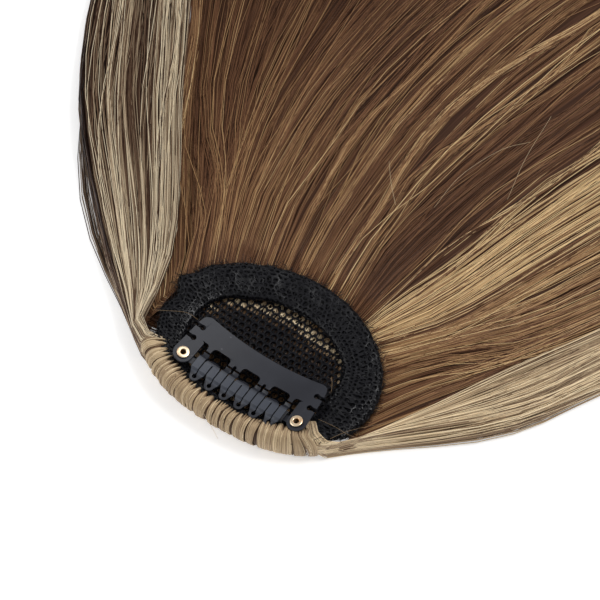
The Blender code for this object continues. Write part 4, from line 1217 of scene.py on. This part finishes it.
def band_section(angle, across, up):
    """Places in the band: at an angle round the cap, across its width and up from its middle.

    The band lies wider over the net on its right, and it has lobes where the lace is folded.
    """
    outer = cap_outline(angle)
    inner = cap_outline(angle, 1.0, BAND_SIDE_WIDTH, BAND_BACK_WIDTH, BAND_FRONT_WIDTH)
    wide = np.hypot(outer[0] - inner[0], outer[1] - inner[1])
    inward = 1.3 * MM * bump(angle, 2, 24) + 0.5 * MM * bump(angle, 128, 12)
    outward = 0.5 * MM * bump(angle, 148, 8) + 1.1 * MM * bump(angle, 167, 5)
    outward += 0.6 * MM * bump(angle, 84, 40) + 0.7 * MM * bump(angle, -24, 7)
    outward -= 1.5 * MM * bump(angle, 179, 8) + 0.8 * MM * bump(angle, 200, 14)
    stretched = across + outward / wide * across - inward / wide * (1 - across)
    x = inner[0] + (outer[0] - inner[0]) * stretched
    y = inner[1] + (outer[1] - inner[1]) * stretched
    return np.column_stack((x, y, band_height(x, y) + up))


def band_surface(angle, turn, proud):
    """Places on the pillowy band: turn goes round its section, proud is how far it stands off."""
    side = 0.5 + 0.5 * signed_power(np.cos(turn), 0.6)
    lift = signed_power(np.sin(turn), 0.8)
    folds = np.array([noise.noise(Vector((math.cos(a) * 5, math.sin(a) * 5, 1.4 * s)))
                      for a, s in zip(angle, side)])
    thick = BAND_THICKNESS / 2 * (1 + 0.5 * folds) + proud
    places = band_section(angle, side + np.sign(side - 0.5) * proud / (7 * MM), lift * thick)
    return places


def even_turns(share, first, last):
    """Turns round the band's section between two angles in degrees, in even steps of its skin."""
    turns = np.radians(np.linspace(first, last, 240))
    side = BAND_BACK_WIDTH / 2 * signed_power(np.cos(turns), 0.6)
    lift = BAND_THICKNESS / 2 * signed_power(np.sin(turns), 0.8)
    skin = np.concatenate(((0,), np.cumsum(np.hypot(np.diff(side), np.diff(lift)))))
    return np.interp(share * skin[-1], skin, turns)


def make_band(material, lace_material):
    stations, around = 150, 14
    deselect()
    bpy.ops.mesh.primitive_torus_add(major_segments=stations, minor_segments=around)
    core = bpy.context.active_object
    core.name = "band_core"
    places = vertex_places(core.data)
    angle = np.arctan2(places[:, 1], places[:, 0])
    distance = np.hypot(places[:, 0], places[:, 1]) - 1.0
    turn = np.arctan2(places[:, 2], distance)
    core.data.vertices.foreach_set("co", band_surface(angle, turn, -0.12 * MM).ravel())
    bpy.ops.object.shade_smooth()
    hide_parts("rim_band")
    finish_piece(core, material)
    for name, pitch, proud, seed in (("band_lace_lower", 0.92 * MM, -0.02 * MM, 3),
                                     ("band_lace_upper", 1.2 * MM, 0.2 * MM, 4)):
        make_lace(name, pitch, proud, seed, lace_material)


def make_lace(name, pitch, proud, seed, material):
    """Fine hexagon lace wrapped over the band, from under its inner fold to its outer edge."""
    length = 118 * MM
    columns = int(length / pitch)
    radius = pitch / math.sqrt(3)
    wide = 9.6 * MM
    rows = int(wide / (1.5 * radius))
    lace = hexagon_cells(name, pitch, columns, rows, 0, 0)
    open_cells(lace, lambda middle: True, 0.27 * pitch)
    thicken(lace, 0.2 * MM, 0)
    mesh = lace.data
    places = vertex_places(mesh)
    stir = np.array([tuple(noise.noise_vector(Vector((p[0], p[1], seed * MM)) * 900))
                     for p in places])
    x = places[:, 0] + 0.34 * MM * stir[:, 0]
    y = places[:, 1] + 0.34 * MM * stir[:, 1]
    angle = 2 * math.pi * x / (columns * pitch)
    turn = even_turns(np.clip(y / (rows * 1.5 * radius), 0, 1), 212, -10)
    rough = proud + places[:, 2] + 0.26 * MM * stir[:, 2]
    mesh.vertices.foreach_set("co", band_surface(angle, turn, rough).ravel())
    mesh.update()
    make_active(lace)
    face_outward()
    finish_piece(lace, material)


def make_fuzz(material):
    """Short loose fibres along the band's outer edge and over its top."""
    chooser = np.random.default_rng(61)
    count, steps = 900, 5
    angle = 2 * math.pi * chooser.random(count)
    side = np.where(chooser.random(count) < 0.6, 1.0, 0.2 + 0.8 * chooser.random(count))
    base = band_section(angle, side, 0.35 * BAND_THICKNESS * np.ones(count))
    way = angle + chooser.normal(0, 0.9, count)
    length = (0.6 + 1.5 * chooser.random(count) ** 2) * MM
    rise = chooser.normal(0.25, 0.35, count)
    ahead = np.column_stack((np.cos(way), np.sin(way), rise))
    bend = np.column_stack((-np.sin(way), np.cos(way), chooser.normal(0, 0.3, count)))
    share = np.linspace(-0.2, 1, steps)
    curl = chooser.normal(0, 0.5, count)[:, None, None] * (share ** 2)[None, :, None]
    reach = length[:, None, None] * (share[None, :, None] * ahead[:, None, :]
                                     + curl * bend[:, None, :])
    paths = base[:, None, :] + reach
    widths = np.full((count, steps), 0.1 * MM)
    piece = strand_tubes("band_fuzz", paths, widths, np.zeros((count, steps)))
    finish_piece(piece, material)


# Loose hairs that lie over the rest. Each has a tone, then its points in millimetres.
LOOSE_HAIRS = (
    (0.95, ((-6.4, 66.1, 6.6), (-2.8, 61.3, 6.9), (1.2, 56.9, 6.8))),
    (0.90, ((16.7, 88.7, 6.3), (12.4, 82.7, 6.6), (8.8, 71.6, 6.7), (8.6, 61.0, 6.9))),
    (0.90, ((16.9, 97.7, 6.2), (18.2, 84.0, 6.5), (20.6, 72.1, 6.6))),
    (0.95, ((-4.6, -6.9, 6.6), (-3.2, -7.9, 5.6), (-0.7, -8.9, 4.4), (1.6, -9.9, 3.2))),
    (0.60, ((-26.0, 5.2, 7.4), (-23.8, 6.5, 7.4), (-19.9, 8.7, 7.3), (-16.9, 8.7, 7.2))),
    (0.60, ((13.7, 13.3, 7.0), (14.7, 12.0, 7.2), (15.7, 10.2, 7.3))),
    (0.58, ((17.0, 3.6, 7.2), (20.8, 4.0, 7.4), (24.9, 4.1, 7.6), (31.3, 6.3, 7.7))),
    (0.58, ((21.5, 1.2, 7.5), (23.8, 5.0, 7.5), (28.7, 10.3, 7.7))),
)


def make_loose_hairs(material):
    steps = 14
    paths = []
    for _tone, points in LOOSE_HAIRS:
        stations = np.linspace(0, 1, len(points))
        place = np.linspace(0, 1, steps)
        paths.append(np.stack([read_curves(stations, [point[axis] for point in points], place)
                               for axis in range(3)], axis=-1) * MM)
    tones = np.array([hair[0] for hair in LOOSE_HAIRS])[:, None] * np.ones((1, steps))
    widths = np.full(tones.shape, 0.085 * MM)
    piece = strand_tubes("loose_hairs", np.array(paths), widths, tones)
    finish_piece(piece, material)


# Snap comb

LEG_PITCH = 1.85 * MM
LEG_WIDENING = 1.2
STITCH_YS = (7.1 * MM, 4.1 * MM)
STITCH_THREAD = 0.22 * MM


def make_stitches(material):
    """The thread that sews the plate's end slots to the lace: a few turns through each slot."""
    paths = []
    middle_x = (PLATE_LOW.x + PLATE_HIGH.x) / 2
    half_x = (PLATE_HIGH.x - PLATE_LOW.x) / 2
    for side in (-1, 1):
        for slot_y in STITCH_YS:
            for turn in range(4):
                shift = (turn - 1.5) * 0.24 * MM
                lean = 0.35 * MM * math.sin(5.3 * turn + slot_y / MM)
                loop = ((half_x - 2.0 * MM, 5.6, 0.6), (half_x - 1.75 * MM, 7.3, 0.9),
                        (half_x - 0.9 * MM, 7.75, 1.0), (half_x + 0.1 * MM, 7.4, 1.1),
                        (half_x + 0.7 * MM, 6.6, 1.3), (half_x + 1.1 * MM, 5.4, 1.4))
                paths.append([(middle_x + side * x, slot_y + shift * spread + lean * spread,
                               height * MM) for x, height, spread in loop])
    paths = np.array(paths)
    widths = np.full(paths.shape[:2], STITCH_THREAD)
    piece = strand_tubes("plate_stitches", paths, widths, np.zeros(paths.shape[:2]),
                         (0.0, 1.0, 0.0))
    finish_piece(piece, material)


def dressed(node, name, bevel, material, body):
    """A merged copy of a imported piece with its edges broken, which stands for it."""
    deselect()
    piece = bpy.data.objects.new(name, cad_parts[node].data.copy())
    bpy.context.scene.collection.objects.link(piece)
    make_active(piece)
    bpy.ops.object.mode_set(mode="EDIT")
    bpy.ops.mesh.select_all(action="SELECT")
    bpy.ops.mesh.remove_doubles(threshold=0.002 * MM)
    bpy.ops.mesh.dissolve_limited(angle_limit=math.radians(0.3))
    bpy.ops.object.mode_set(mode="OBJECT")
    edge = piece.modifiers.new("edge", "BEVEL")
    edge.width = bevel
    edge.segments = 2
    edge.limit_method = "ANGLE"
    edge.angle_limit = math.radians(40)
    bpy.ops.object.modifier_apply(modifier=edge.name)
    bpy.ops.object.shade_smooth_by_angle(angle=math.radians(35))
    flats = piece.modifiers.new("flats", "WEIGHTED_NORMAL")
    flats.keep_sharp = True
    bpy.ops.object.modifier_apply(modifier=flats.name)
    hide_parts(node)
    return finish_piece(piece, material, body)


def widen_legs(piece):
    """Broaden the teeth's legs where they ride over the bar."""
    for vertex in piece.data.vertices:
        place = vertex.co
        leg = math.floor(place.x / LEG_PITCH) + 0.5
        middle = leg * LEG_PITCH
        if -2.0 * MM < place.y < 1.6 * MM and abs(place.x - middle) < 0.9 * MM:
            place.x = middle + (place.x - middle) * LEG_WIDENING


def make_clip():
    enamel = enamel_material()
    # The teeth's enamel carries a painted highlight where they cross the bar
    highlighted_enamel = teeth_highlight_enamel_material(enamel)
    dressed("clip_plate", "plate_enamelled", 0.12 * MM, enamel, HAIR_BODY)
    dressed("clip_bar", "bar_enamelled", 0.06 * MM, enamel, HAIR_BODY)
    dressed("bar_sleeve", "sleeve_moulded", 0.06 * MM, rubber_material(),
            HAIR_BODY)
    for place in ("left", "middle", "right"):
        teeth = dressed("comb_" + place, "teeth_" + place, 0.09 * MM, highlighted_enamel, COMB_BODY)
        widen_legs(teeth)
    brass = brass_material()
    for place in ("left", "right"):
        dressed("eyelet_" + place, "eyelet_turned_" + place, 0.04 * MM, brass,
                HAIR_BODY)


def main():
    set_camera()
    set_light()
    set_floor()
    brown = strand_material("brown_strands", BROWN_TONES, 0.40)
    blonde = strand_material("blonde_strands", BLONDE_TONES, 0.38)
    # The beds run darker than the strands on them, as painted shade in the gaps; the brown one is
    # darker still under the cap, as painted shade
    brown_bed = bed_material("brown_bed", BROWN_TONES, 0.02, 0.36, 0.2)
    blonde_bed = bed_material("blonde_bed", BLONDE_TONES, 0.0, 0.45)
    ash = strand_material("ash_strands", ASH_TONES, 0.38)
    make_fringe(brown, brown_bed)
    make_left_lock(ash, bed_material("ash_bed", ASH_TONES, 0.0, 0.4))
    make_right_lock(blonde, blonde_bed)
    make_corner_hair(brown)
    make_roll(blonde, blonde_bed)
    make_under_net(strand_material("golden_strands", GOLDEN_TONES, 0.34, 0.3))
    thread = netting_material("net_thread", (0.004, 0.004, 0.0055), 0.30, 2200.0, 0.10)
    lace = netting_material("lace_thread", (0.0045, 0.0045, 0.006), 0.28, 3000.0, 0.22)
    make_net("net_fine", thread, on_cap, shift_x=0.0, shift_y=0.0, lower=0.0, strand=NET_STRAND,
             levels=1, node="net_cap")
    make_net("net_lower_layer", thread, in_second_layer, shift_x=0.55 * MM, shift_y=0.35 * MM,
             lower=0.45 * MM, strand=0.3 * MM, levels=0)
    make_band(band_core_material(), lace)
    make_fuzz(lace)
    make_clip()
    make_stitches(thread)
    make_loose_hairs(blonde)


main()
